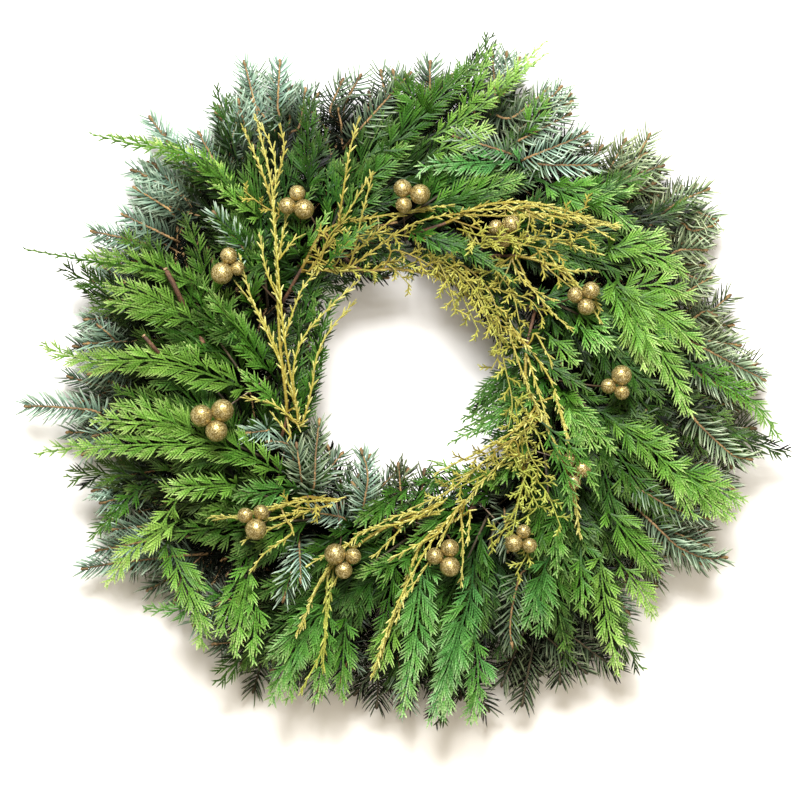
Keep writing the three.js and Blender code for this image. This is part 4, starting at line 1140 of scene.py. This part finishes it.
# %% Cedar fronds that show
SEEN_CEDAR_Z = 67.0
FULLNESS = 1.5  # a frond's longest side axes are this many times the width in its row
TIP_TWIGLET = 3.0
CEDAR_SEEN = [  # hue, tone (partly painted shade), width, and the pixels from root to tip
    (0.6, 0.6, 13, (252, 211), (227, 185), (196, 157), (116, 140), (85, 132)),
    (0.7, 0.8, 11, (252, 211), (204, 178)), (0.95, 0.95, 8, (250, 206), (210, 165), (160, 145), (104, 134)),
    (0.45, 0.2, 17, (250, 215), (220, 188), (190, 168), (160, 160)),
    (0.75, 0.7, 19, (200, 285), (140, 264), (80, 255)), (0.6, 0.4, 6, (150, 270), (75, 258), (20, 248)),
    (0.75, 0.75, 17, (175, 308), (132, 290), (98, 284)),
    (0.75, 0.65, 17, (190, 320), (142, 308), (103, 300)), (0.5, 0.6, 18, (261, 360), (201, 281)),
    (0.5, 0.6, 18, (261, 360), (209, 296)), (0.75, 0.75, 24, (240, 386), (166, 361), (89, 361), (35, 342)),
    (0.7, 0.8, 20, (218, 444), (175, 425), (86, 420)), (0.7, 0.8, 18, (210, 440), (165, 415), (106, 406)),
    (0.65, 0.82, 22, (278, 472), (218, 446), (80, 447), (30, 455)), (0.45, 0.2, 16, (244, 342), (192, 308)),
    (0.4, 0.25, 16, (235, 330), (205, 342)), (0.5, 0.75, 10, (270, 395), (235, 367)),
    (0.5, 0.75, 10, (270, 400), (256, 382)), (0.3, 0.67, 16, (290, 489), (227, 497)),
    (0.65, 0.82, 18, (230, 485), (158, 489)), (0.85, 0.92, 13, (175, 503), (142, 555)),
    (0.9, 1.0, 16, (170, 525), (132, 550), (104, 590)), (0.5, 0.47, 12, (116, 512), (85, 545)),
    (0.25, 0.72, 13, (215, 594), (182, 609), (139, 607)),
    (0.65, 0.77, 20, (185, 583), (201, 620), (199, 653)), (0.5, 0.82, 16, (244, 569), (217, 640)),
    (0.55, 0.87, 14, (250, 569), (238, 630), (234, 662)), (0.5, 0.87, 14, (256, 600), (252, 670)),
    (0.3, 0.82, 18, (329, 603), (265, 662)), (0.3, 0.82, 20, (329, 603), (290, 660), (268, 710)),
    (0.4, 0.77, 18, (329, 610), (317, 706)), (0.4, 0.67, 18, (300, 620), (288, 704)),
    (0.45, 0.62, 18, (345, 630), (340, 704)), (0.35, 0.35, 20, (348, 534), (265, 596)),
    (0.45, 0.67, 16, (406, 560), (351, 577)), (0.45, 0.57, 14, (385, 505), (351, 526)),
    (0.65, 0.87, 16, (399, 620), (372, 681)), (0.25, 0.92, 23, (420, 586), (413, 655), (400, 722)),
    (0.15, 0.87, 22, (472, 569), (468, 603), (429, 729)),
    (0.25, 0.92, 20, (468, 603), (451, 655), (444, 726)),
    (0.3, 0.87, 18, (475, 638), (478, 681), (469, 729)), (0.2, 0.67, 16, (544, 569), (525, 634)),
    (0.25, 0.72, 18, (544, 569), (541, 641)), (0.4, 0.67, 16, (563, 509), (556, 534), (558, 577)),
    (0.5, 0.72, 14, (581, 569), (582, 619)), (0.75, 0.92, 18, (600, 557), (606, 612), (620, 681)),
    (0.8, 0.92, 15, (639, 586), (658, 620)), (0.55, 0.72, 24, (613, 517), (660, 574)),
    (0.6, 0.82, 22, (665, 463), (700, 480), (748, 504)),
    (0.6, 0.82, 18, (670, 465), (710, 500), (739, 521)),
    (0.6, 0.77, 20, (613, 420), (665, 463), (696, 523)), (0.65, 0.82, 14, (700, 490), (725, 523)),
    (0.6, 0.77, 15, (630, 430), (682, 446)), (0.55, 0.72, 17, (567, 399), (600, 455)),
    (0.5, 0.72, 17, (567, 399), (620, 456)), (0.5, 0.67, 14, (567, 410), (584, 455)),
    (0.5, 0.67, 15, (690, 362), (748, 398), (785, 446)), (0.65, 0.8, 22, (622, 291), (656, 375)),
    (0.65, 0.8, 22, (622, 291), (660, 285), (696, 299)),
    (0.65, 0.8, 24, (622, 291), (670, 320), (705, 361)), (0.6, 0.8, 24, (622, 300), (665, 360), (691, 420)),
    (0.9, 0.9, 15, (624, 308), (648, 375)), (0.6, 0.75, 12, (551, 337), (581, 368)),
    (0.4, 0.95, 14, (585, 318), (613, 350)), (0.4, 0.9, 12, (582, 330), (600, 356)),
    (0.65, 0.8, 20, (617, 247), (670, 233)), (0.65, 0.75, 20, (617, 247), (655, 255), (691, 275)),
    (0.4, 0.75, 20, (562, 190), (637, 192)), (0.4, 0.75, 20, (562, 190), (605, 205), (639, 235)),
    (0.8, 0.85, 13, (429, 140), (472, 111), (515, 71), (551, 37)),
    (0.8, 0.85, 8, (500, 90), (530, 66), (552, 50)), (0.6, 0.7, 11, (470, 100), (486, 62), (496, 40)),
    (0.75, 0.75, 16, (440, 150), (496, 125)), (0.45, 0.4, 22, (385, 150), (446, 90), (484, 54)),
    (0.45, 0.5, 16, (361, 185), (410, 140)), (0.1, 1.0, 15, (515, 161), (429, 166), (415, 181)),
    (0.5, 0.6, 18, (429, 207), (528, 176)), (0.35, 0.15, 20, (308, 185), (310, 92)),
    (0.35, 0.15, 18, (308, 185), (330, 125)), (0.5, 0.7, 13, (308, 243), (332, 209)),
    (0.4, 0.35, 16, (437, 242), (513, 278)), (0.3, 0.67, 12, (528, 395), (487, 423), (443, 446)),
    (0.45, 0.5, 22, (420, 110), (400, 75)), (0.5, 0.55, 14, (530, 125), (548, 92)),
    (0.45, 0.4, 20, (590, 200), (650, 170)), (0.45, 0.45, 20, (640, 330), (700, 330)),
    (0.4, 0.3, 14, (520, 350), (560, 372), (598, 395)),
    (0.45, 0.35, 14, (395, 560), (385, 620), (370, 660)),
    (0.4, 0.3, 14, (250, 250), (225, 225), (205, 215)), (0.4, 0.2, 14, (300, 270), (262, 262), (240, 290)),
    (0.45, 0.35, 13, (300, 436), (310, 385), (317, 335), (312, 290)),
    (0.4, 0.22, 13, (290, 420), (299, 360), (298, 300)), (0.5, 0.4, 9, (304, 400), (318, 360), (322, 330)),
    (0.4, 0.25, 13, (300, 330), (312, 290), (330, 262)),
    (0.3, 0.55, 13, (520, 380), (488, 403), (459, 424)),
    (0.25, 0.5, 13, (520, 370), (492, 390), (463, 412)),
    (0.4, 0.35, 14, (540, 300), (590, 290), (630, 300)),
    (0.4, 0.35, 14, (440, 205), (480, 200), (520, 190)),
    (0.4, 0.47, 14, (430, 480), (400, 520), (360, 545)),
    (0.45, 0.47, 14, (520, 420), (515, 460), (490, 490)),
    (0.45, 0.52, 15, (458, 506), (428, 532), (396, 560)),
    (0.6, 0.72, 11, (490, 480), (455, 470), (425, 458)),
    (0.45, 0.57, 13, (480, 492), (445, 480), (412, 482)),
    (0.4, 0.35, 13, (318, 350), (325, 320), (340, 290)),
    (0.4, 0.47, 12, (405, 490), (380, 506), (354, 524)), (0.5, 0.4, 14, (250, 300), (262, 262), (258, 225)),
    (0.45, 0.35, 14, (300, 250), (300, 215), (315, 180)),
    (0.45, 0.3, 14, (330, 250), (350, 215), (352, 180)),
    (0.4, 0.12, 11, (468, 250), (490, 280), (503, 322)),
    (0.4, 0.12, 11, (500, 285), (512, 325), (518, 368)),
    (0.4, 0.15, 10, (518, 345), (520, 380), (512, 415)),
    (0.4, 0.12, 10, (440, 248), (468, 266), (488, 296)),
    (0.3, 0.45, 12, (526, 402), (497, 424), (466, 438)),
    (0.3, 0.35, 13, (524, 362), (500, 378), (474, 396)),
    (0.35, 0.6, 11, (530, 388), (494, 412), (452, 434)), (0.3, 0.3, 13, (524, 376), (496, 396), (468, 416)),
    (0.3, 0.3, 12, (528, 390), (500, 412), (470, 426)), (0.3, 0.25, 13, (534, 410), (508, 430), (480, 446)),
]
OVER_BERRIES_Z = 88.0
OVER_BERRIES = [  # sprigs that lie over juniper or berries: hue, tone, width and pixels
    (0.4, 0.4, 17, (425, 236), (468, 250), (513, 280)),
    (0.45, 0.45, 13, (330, 262), (352, 236), (380, 222)),
    (0.5, 0.6, 15, (545, 425), (575, 452), (600, 500)), (0.4, 0.6, 15, (550, 440), (566, 475), (572, 520)),
]
STUBS_SEEN = [  # bare ends of older twigs, sawn off: height, radius, and pixels from root to tip
    (74, 2.2, (196, 328), (182, 302), (174, 285), (165, 268)),
    (72, 1.7, (171, 367), (157, 351), (143, 335)),
]
STUB_SUNK = 32

cedar = low_cedar + top_cedar
for hue, tone, width, *pixels in CEDAR_SEEN:
    bundle, line = grown_from(cedar, pixels, SEEN_CEDAR_Z + shaker.uniform(-3, 3))
    line = line.cut_back(TIP_TWIGLET, 12, shaker.normal(0, 9))
    cedar_frond(bundle, line, line.length * 0.12, width * FULLNESS, hue, tone)

for hue, tone, width, *pixels in OVER_BERRIES:
    bundle, line = grown_from(cedar, pixels, OVER_BERRIES_Z)
    cedar_frond(bundle, line, line.length * 0.3, width, hue, tone)

for height, r, *pixels in STUBS_SEEN:
    bundle, line = grown_from(cedar, pixels, height, sunk=STUB_SUNK)
    bundle.bend(STEM, JUNIPER_BARK, line, 0, line.length, (r, r))
    bundle.bend(STEM, FRESH_CUT, line, line.length - 1.5, line.length + 0.3, (r * 0.95, r * 0.9))

pieces(low_cedar, "cedar_lower_frond", "scale_leaves", "cedar_leaf")
pieces(top_cedar, "cedar_upper_frond", "scale_leaves", "cedar_leaf_tips")

# %% [markdown]
# ## Golden juniper
#
# These are long straight whips, two to three millimetres thick with their scale leaves, and short spurs
# lie close to them on both sides. Two or three run side by side. Some carry young sprigs that fork
# widely, like small antlers. They lie on top of the cedar and cross it in all directions.

# %% Golden juniper
GOLD = [  # binding, hue, and the points that the whip passes over the cedar
    (7, 0.1, ((-101, -28, 72), (-107, 32, 72), (-110, 112, 72), (-114, 165, 74), (-127, 220, 70))),
    (5, 0.45, ((-88, 94, 68.5), (-68, 126, 68.5), (-27, 137, 69), (20, 143, 69))),
    (4, 0.5, ((-38, 92, 71), (-8, 93, 69), (38, 82, 67), (76, 46, 60))),
    (3, 0.2, ((34, 132, 70), (66, 147, 70), (114, 148, 72), (176, 128, 68))),
    (2, 0.2, ((94, 104, 71), (118, 98, 72), (138, 88, 72), (164, 50, 70))),
    (1, 0.1, ((102, 24, 70), (103, -10, 70), (122, -46, 70), (138, -84, 70), (147, -132, 66))),
    (11, 0.6, ((100, -84, 70), (92, -112, 70), (76, -138, 68))),
    (10, 0.15, ((44, -118, 70), (14, -138, 71), (-6, -190, 71), (-26, -246, 66))),
    (9, 0.15, ((-14, -124, 70), (-40, -140, 70), (-70, -168, 71), (-92, -214, 68))),
    (8, 0.2, ((-84, -100, 70), (-112, -110, 70), (-160, -119, 68))),
]
GOLD_RISE, GOLD_RISE_Z = 17.3, (28, 40, 53)  # angle past the binding where a spray rises, and heights
SPUR_LENGTH, SPUR_WIDTH, SPUR_PITCH, SPUR_ANGLE = 6.0, 1.5, 4.2, 24
WHIP_R, WHIP_TIP = 1.4, 7
ANTLER_LENGTH, ANTLER_WIDTH, ANTLER_PITCH, ANTLER_ANGLE = 9.5, 1.5, 8.0, 48
ANTLER_FORKS = ((0.25, 0.8), (0.42, -0.8), (0.6, 0.7), (0.78, -0.7))  # share of the length, and turn
FORK_LENGTH, FORK_WIDTH = 0.4, 1.3


def juniper_whip(bundle, line, start, radius, hue):
    """A straight whip: its shaft of scale leaves, and short spurs that lie close to it."""
    random = bundle.random
    radii = (radius, radius * 0.5)
    bundle.bend(STEM, JUNIPER, line, max(start - 6, 0), line.length, radii, (0.1, 0.8), hue)
    n = max(int((line.length - start) / SPUR_PITCH), 3)
    reach = start + (line.length - start) * (np.arange(n) + random.random(n)) / n
    place, along, side, up = line.at(reach)
    turn = (np.arange(n) % 2 * np.pi + random.normal(0, 0.7, n))[:, None]
    lean = np.radians(random.normal(SPUR_ANGLE, 6, (n, 1)))
    direction = unit(np.cos(lean) * along + np.sin(lean) * (np.cos(turn) * side + np.sin(turn) * up))
    lengths = SPUR_LENGTH * random.uniform(0.6, 1.5, n)
    bundle.stamp(NUB, JUNIPER, place, direction, up, lengths, SPUR_WIDTH, (0.45, 1.0), hue, 0.6, 0.3)
    tip, along, side, up = line.at(line.length)
    bundle.stamp(NUB, JUNIPER, tip - 2 * along, along, up, WHIP_TIP, 1.2 * radius, (0.5, 1.0), hue)


def juniper_antler(bundle, line, start, radius, hue):
    """A young sprig that forks widely, and forks again."""
    random = bundle.random
    radii = (radius, radius * 0.6)
    bundle.bend(STEM, JUNIPER, line, max(start - 6, 0), line.length, radii, (0.2, 0.8), hue)
    n = max(int((line.length - start) / ANTLER_PITCH), 3)
    reach = start + (line.length - start) * (np.arange(n) + 0.5) / n
    place, along, side, up = line.at(reach)
    sign = np.where(np.arange(n) % 2, 1.0, -1.0)[:, None]
    lean = np.radians(random.normal(ANTLER_ANGLE, 7, (n, 1)))
    lift = random.normal(0.1, 0.25, (n, 1))
    direction = unit(np.cos(lean) * along + np.sin(lean) * sign * side + lift * up)
    lengths = ANTLER_LENGTH * random.uniform(0.8, 1.6, n)
    bundle.stamp(NUB, JUNIPER, place, direction, up, lengths, ANTLER_WIDTH, (0.4, 0.9), hue, 0.5, 0.35)
    for part, turn in ANTLER_FORKS:
        forks = place + direction * (lengths * part)[:, None]
        branch = unit(direction + turn * unit(np.cross(up, direction)))
        bundle.stamp(NUB, JUNIPER, forks, branch, up, lengths * FORK_LENGTH, FORK_WIDTH,
                     (0.6, 1.0), hue, 0.55, 0.4)


def gold_spray(binding, hue, over, seed):
    bundle = Bundle(seed)
    main = Line([*rising_points(binding, GOLD_LANE, CUT_END, GOLD_RISE, GOLD_RISE_Z), *over])
    start = main.reach[np.argmax(main.points[:, 2] > over[0][2] - 1)]
    bundle.stems.append(Line(main.at(np.arange(start - 4, main.length, 4))[0], samples=2))
    bundle.bend(STEM, JUNIPER_BARK, main, 0, start + 4, (STEM_R, WHIP_R))
    juniper_whip(bundle, main, start, WHIP_R, hue)
    return bundle

# %% [markdown]
# The whips beside each main one were read off the photograph, and so were the sprigs.

# %% Whips and sprigs that show
SEEN_GOLD_Z = 74.0
THIN_WHIP_R, SPRIG_R = 1.0, 0.8
WHIPS_SEEN = [  # spray, hue, and the pixels from root to tip
    (0, 0.05, (300, 424), (287, 380), (268, 335), (252, 300), (240, 258)),
    (0, 0.1, (285, 370), (262, 318), (237, 284)), (0, 0.05, (281, 304), (267, 273), (260, 237)),
    (0, 0.0, (296, 405), (286, 350), (281, 305), (277, 257), (273, 207), (276, 178), (272, 147), (256, 118)),
    (0, 0.05, (287, 330), (300, 293), (312, 276)), (0, 0.1, (279, 255), (284, 228), (288, 212)),
    (0, 0.1, (280, 258), (293, 241), (301, 236)), (0, 0.2, (273, 207), (262, 172), (243, 128)),
    (0, 0.05, (298, 420), (293, 375), (302, 340), (325, 312), (355, 284)),
    (0, 0.1, (302, 424), (312, 387), (316, 360), (328, 333), (353, 303)),
    (0, 0.1, (298, 424), (273, 404), (245, 398)), (0, 0.2, (290, 435), (273, 415)),
    (0, 0.3, (277, 180), (284, 150), (281, 128)), (1, 0.3, (348, 268), (362, 215), (372, 176)),
    (1, 0.25, (345, 180), (350, 150), (358, 121)), (1, 0.4, (348, 268), (411, 225), (463, 214), (478, 225)),
    (1, 0.35, (350, 255), (400, 215), (450, 205)), (1, 0.3, (310, 270), (340, 225), (370, 176)),
    (3, 0.1, (466, 211), (535, 207)), (3, 0.1, (510, 211), (534, 206), (589, 223), (618, 225)),
    (3, 0.15, (530, 212), (580, 222), (610, 238)), (3, 0.1, (510, 240), (541, 238), (600, 254)),
    (3, 0.2, (455, 214), (500, 216), (560, 214), (606, 222)), (4, 0.2, (545, 250), (562, 269), (593, 271)),
    (4, 0.25, (513, 262), (525, 283), (550, 299)), (4, 0.2, (520, 265), (529, 284), (551, 311), (570, 329)),
    (4, 0.2, (562, 274), (598, 306)), (5, 0.05, (510, 325), (548, 375), (562, 420), (572, 463), (579, 530)),
    (5, 0.1, (510, 334), (527, 385), (546, 422)), (5, 0.1, (529, 361), (548, 422)),
    (5, 0.1, (536, 334), (551, 361)), (5, 0.05, (556, 400), (568, 440), (572, 490)),
    (5, 0.15, (530, 420), (490, 446), (438, 472)), (5, 0.2, (528, 428), (486, 460), (450, 490), (412, 508)),
    (5, 0.1, (532, 412), (508, 436), (478, 452)), (6, 0.2, (514, 452), (482, 482), (462, 506)),
    (7, 0.0, (465, 500), (437, 534), (415, 569), (392, 617), (372, 676)), (7, 0.1, (405, 590), (397, 620)),
    (7, 0.05, (437, 534), (392, 558)), (7, 0.15, (461, 514), (463, 552), (461, 583)),
    (7, 0.1, (458, 508), (430, 560), (400, 604)), (7, 0.1, (470, 512), (468, 541)),
    (8, 0.1, (447, 500), (406, 522), (368, 529), (353, 540), (334, 560), (317, 586), (301, 629)),
    (8, 0.15, (399, 531), (375, 555)), (8, 0.15, (345, 545), (310, 564)), (8, 0.15, (350, 555), (327, 595)),
    (8, 0.1, (440, 512), (400, 515), (360, 535)), (9, 0.15, (330, 505), (265, 519), (216, 516)),
    (9, 0.2, (292, 533), (265, 553), (252, 570)), (9, 0.2, (300, 515), (245, 540)),
    (9, 0.25, (340, 500), (300, 502), (262, 508)), (8, 0.9, (326, 625), (323, 648), (301, 691)),
    (8, 0.8, (325, 630), (323, 669)),
]
SPRIGS_SEEN = [  # spray, hue, and the pixels from root to tip
    (2, 0.7, (340, 272), (365, 270), (378, 276)), (2, 0.55, (385, 262), (400, 275), (412, 288)),
    (2, 0.5, (395, 250), (425, 262), (448, 280)), (2, 0.7, (432, 255), (444, 288), (460, 304)),
    (2, 0.65, (445, 262), (470, 280), (486, 312)), (2, 0.7, (450, 268), (464, 300), (480, 334)),
    (4, 0.75, (478, 282), (488, 312), (499, 348)), (2, 0.6, (438, 262), (450, 290), (456, 314)),
    (2, 0.75, (440, 262), (478, 290), (500, 325)), (1, 0.6, (335, 265), (350, 240), (380, 232)),
    (1, 0.6, (380, 232), (405, 236), (428, 240)), (3, 0.6, (530, 236), (566, 240), (590, 236)),
    (3, 0.5, (560, 218), (590, 206)), (4, 0.55, (540, 262), (575, 290), (600, 300)),
    (4, 0.6, (500, 290), (530, 300), (545, 322)), (6, 0.85, (516, 400), (535, 428), (545, 455)),
    (6, 0.9, (520, 470), (545, 490), (562, 530)), (6, 0.9, (530, 463), (520, 495), (512, 535)),
    (6, 0.85, (535, 510), (487, 540)), (6, 0.8, (530, 546), (515, 576)),
    (6, 0.9, (505, 440), (525, 480), (540, 510)), (5, 0.7, (502, 350), (512, 400), (508, 430)),
    (5, 0.7, (524, 420), (530, 455), (548, 480)), (2, 0.6, (452, 268), (475, 292), (492, 330)),
    (2, 0.5, (462, 265), (490, 292), (504, 340)), (5, 0.6, (498, 318), (500, 350), (490, 372)),
    (4, 0.6, (495, 268), (512, 292), (520, 325)), (6, 0.6, (516, 452), (478, 468), (440, 486)),
    (3, 0.45, (528, 214), (556, 226), (584, 236)), (6, 0.7, (512, 462), (470, 482), (430, 500)),
    (6, 0.5, (514, 440), (490, 452), (462, 462)), (3, 0.5, (500, 236), (530, 246), (560, 252)),
    (1, 0.5, (320, 262), (330, 235), (352, 215)), (9, 0.5, (320, 510), (285, 505)),
    (0, 0.5, (279, 215), (262, 205), (243, 190)),
]
SPRIGS_OVER_BERRIES = [  # young sprigs that hide a ball of a cluster
    (3, 0.7, (478, 244), (500, 241), (528, 246)), (3, 0.75, (482, 236), (503, 237), (524, 240)),
    (3, 0.7, (484, 248), (506, 236), (522, 228)),
]

gold = [gold_spray(*row, 400 + i) for i, row in enumerate(GOLD)]
for grow, radius, table in ((juniper_whip, THIN_WHIP_R, WHIPS_SEEN), (juniper_antler, SPRIG_R, SPRIGS_SEEN)):
    for spray, hue, *pixels in table:
        height = SEEN_GOLD_Z + shaker.uniform(-3, 3)
        bundle, line = grown_from([gold[spray]], pixels, height, least=4)
        grow(bundle, line, 4, radius, hue)
for spray, hue, *pixels in SPRIGS_OVER_BERRIES:
    bundle, line = grown_from([gold[spray]], pixels, OVER_BERRIES_Z, least=4)
    juniper_antler(bundle, line, line.length * 0.3, SPRIG_R, hue)
pieces(gold, "gold_juniper_spray", "scale_twigs", "gold_juniper")

# %% [markdown]
# ## Berries
#
# Each pick is a wire with three plastic balls at its end, rolled in glitter. A ball starts as a sphere
# of triangles, because those are all alike and the flakes of glitter on it can stand at every angle.

# %% Berries
BERRIES = [  # binding, and three balls as x, y and radius
    (0, ((171, -6, 6.4), (183, 4, 8.5), (186, -13, 6.4))),
    (1, ((143, 71, 6.8), (157, 75, 7.4), (153, 60, 7.2))),
    (2, ((76, 128, 6.4), (90, 131, 7.6), (83, 117, 6.5))),
    (3, ((-3, 161, 7.6), (12, 156, 8.5), (-2, 146, 6.8))),
    (4, ((-92, 157, 6.8), (-102, 144, 7.2), (-85, 140, 8.5))),
    (5, ((-150, 104, 7.2), (-157, 86, 9.3), (-140, 89, 6.0))),
    (6, ((-173, -31, 9.3), (-152, -26, 9.6), (-158, -46, 9.3))),
    (7, ((-127, -127, 9.0), (-137, -114, 6.5), (-122, -111, 6.5))),
    (8, ((-60, -148, 9.0), (-43, -150, 6.8), (-52, -163, 7.2))),
    (9, ((37, -143, 7.6), (22, -151, 7.2), (37, -161, 8.5))),
    (10, ((91, -139, 7.4), (101, -127, 6.0), (106, -141, 6.4))),
    (11, ((149, -76, 7.5), (137, -69, 6.5), (142, -86, 6.5))),
]
PICK_CUT_END, PICK_RISE, PICK_RISE_Z = 5, 14.8, (30, 46, 58)
UNDER_BALL = (0.92, 0.92, 0.8)  # where the wire comes up to the first ball, as shares of its middle
PICK_WIRE_R = 0.8
BOUND_END = (1.5, 1.2)  # radii of the pick's thicker brown end, which is bound to the ring
BALL_LAP = 0.97  # the middles of two balls are this share of both radii apart
FLAKES, FLAKE_SIZE, FLAKE_SUNK = 420, 0.55, 0.02
FLAKE_DEPTH = 0.15  # as a share of its size


def ball_template():
    bm = bmesh.new()
    bmesh.ops.create_icosphere(bm, subdivisions=4, radius=1)
    return points_and_faces(bm)


def flake_template():
    bm = bmesh.new()
    bmesh.ops.create_circle(bm, cap_ends=True, segments=5, radius=0.5)
    whole = bmesh.ops.extrude_face_region(bm, geom=bm.faces[:])["geom"]
    top = [v for v in whole if isinstance(v, bmesh.types.BMVert)]
    bmesh.ops.translate(bm, vec=(0, 0, FLAKE_DEPTH), verts=top)
    bmesh.ops.recalc_face_normals(bm, faces=bm.faces[:])
    bmesh.ops.triangulate(bm, faces=bm.faces[:])
    return points_and_faces(bm)


BALL = ball_template()
FLAKE = flake_template()


def berry_cluster(binding, balls, seed):
    bundle = Bundle(seed)
    random = bundle.random
    centres = [np.array([x, y, GOLD_TOP + radius + 1]) for x, y, radius in balls]
    for k in (1, 2):
        away = unit(centres[k] - centres[0])
        centres[k] = centres[0] + away * BALL_LAP * (balls[0][2] + balls[k][2])
    stem = rising_points(binding, PICK_LANE, PICK_CUT_END, PICK_RISE, PICK_RISE_Z)
    line = Line([*stem, centres[0] * UNDER_BALL, centres[0]])
    bundle.bend(STEM, JUNIPER_BARK, line, 0, line.length * 0.3, BOUND_END)
    bundle.bend(STEM, PICK_WIRE, line, line.length * 0.25, line.length, (PICK_WIRE_R, PICK_WIRE_R))
    for centre, (_, _, radius) in zip(centres, balls):
        bundle.put((centre + BALL[0] * radius)[None], BALL[1], GLITTER, 0.5, 0.5, 0.5, 0.0)
        out = unit(random.normal(0, 1, (FLAKES, 3)))
        tilt = unit(out + random.normal(0, 0.35, (FLAKES, 3)))
        u = unit(np.cross(tilt, [0.3, 0.5, 0.8]))
        v = np.cross(tilt, u)
        base = centre + out * (radius - FLAKE_SUNK)
        x, y, z = (FLAKE[0][None, :, k : k + 1] * FLAKE_SIZE for k in range(3))
        flakes = base[:, None] + x * u[:, None] + y * v[:, None] + z * tilt[:, None]
        bundle.put(flakes, FLAKE[1], GLITTER, 0.5, random.random((FLAKES, 1)), 0.5, 0.0)
    for k in (1, 2):
        line = Line([centres[0] - [0, 0, 6], (centres[0] + centres[k]) / 2 - [0, 0, 7], centres[k]])
        bundle.bend(STEM, PICK_WIRE, line, 0, line.length, (PICK_WIRE_R, PICK_WIRE_R))
    return bundle


clusters = [berry_cluster(*row, 500 + i) for i, row in enumerate(BERRIES)]
pieces(clusters, "berry_cluster", "glittered", "glitter_berry")

# %% [markdown]
# ## Frame and winding wire
#
# The ring frame is four hoops of round wire, joined by bent cross wires. The winding wire is one long
# thin wire that goes twice round the frame and the stems at each binding. Both are drawn as curves
# with a round bevel and then made meshes.

# %% Ring frame
TOP_RAILS, TOP_RAIL_Z = (113.0, 138.0), 16.0
LOW_RAILS, RAIL_R = (108.0, 144.0), 1.5
RUNGS, FIRST_RUNG = 6, 37.5


def wires(name, lines, radius, material, node):
    """Round wires through lists of points in millimetres, closed where the last point is the first."""
    curve = bpy.data.curves.new(name, "CURVE")
    curve.dimensions = "3D"
    curve.bevel_depth = radius * MM
    curve.bevel_resolution = 3
    curve.use_fill_caps = True
    for points in lines:
        closed = np.allclose(points[0], points[-1])
        points = points[:-1] if closed else points
        spline = curve.splines.new("POLY")
        spline.points.add(len(points) - 1)
        spline.points.foreach_set("co", np.c_[np.array(points) * MM, np.ones(len(points))].ravel())
        spline.use_cyclic_u = closed
        spline.use_smooth = True
    loose = bpy.data.objects.new(name + "_curve", curve)
    bpy.context.scene.collection.objects.link(loose)
    mesh = bpy.data.meshes.new_from_object(loose.evaluated_get(bpy.context.evaluated_depsgraph_get()))
    bpy.data.objects.remove(loose)
    mesh.name = name
    mesh.materials.clear()
    mesh.materials.append(material)
    hand_in(name, mesh, [node])
    print(name, "faces:", len(mesh.polygons))


def hoop(r, z, steps=120):
    return [polar(r, 360 * k / steps, z) for k in range(steps + 1)]


def rung(angle):
    top = [(r, TOP_RAIL_Z) for r in reversed(TOP_RAILS)]
    stops = [(LOW_RAILS[1], RAIL_R), *top, (LOW_RAILS[0], RAIL_R)]
    return [polar(r, angle, z) for r, z in stops]


hoops = [hoop(r, TOP_RAIL_Z) for r in TOP_RAILS] + [hoop(r, RAIL_R) for r in LOW_RAILS]
rungs = [rung(FIRST_RUNG + k * 360 / RUNGS) for k in range(RUNGS)]
enamel = enamelled_wire("green enamelled steel wire", "#24402C", "#54605A")
wires("ring_frame_wires", hoops + rungs, RAIL_R, enamel, "ring_frame")

# %% Winding wire
WIRE_R, GAP = 0.5, 0.4
TURN_OFFSET = 1.9  # degrees to either side of a binding

off = RAIL_R + GAP + WIRE_R
inside, outside = TOP_RAILS[0] - off - 1, TOP_RAILS[1] + off
under, over = TOP_RAIL_Z - off, SEAT_Z + STEM_R + GAP + WIRE_R
corners = ((inside, under), (inside, over), (outside, over), (outside, under))
turns = [polar(r, binding_angle(-i) + turn, z)
         for i in range(BINDINGS) for turn in (TURN_OFFSET, -TURN_OFFSET) for r, z in corners]
enamel = enamelled_wire("green florist wire", "#2F5A3A", "#5C6E62")
wires("winding_wire_turns", [turns], WIRE_R, enamel, "winding_wire")
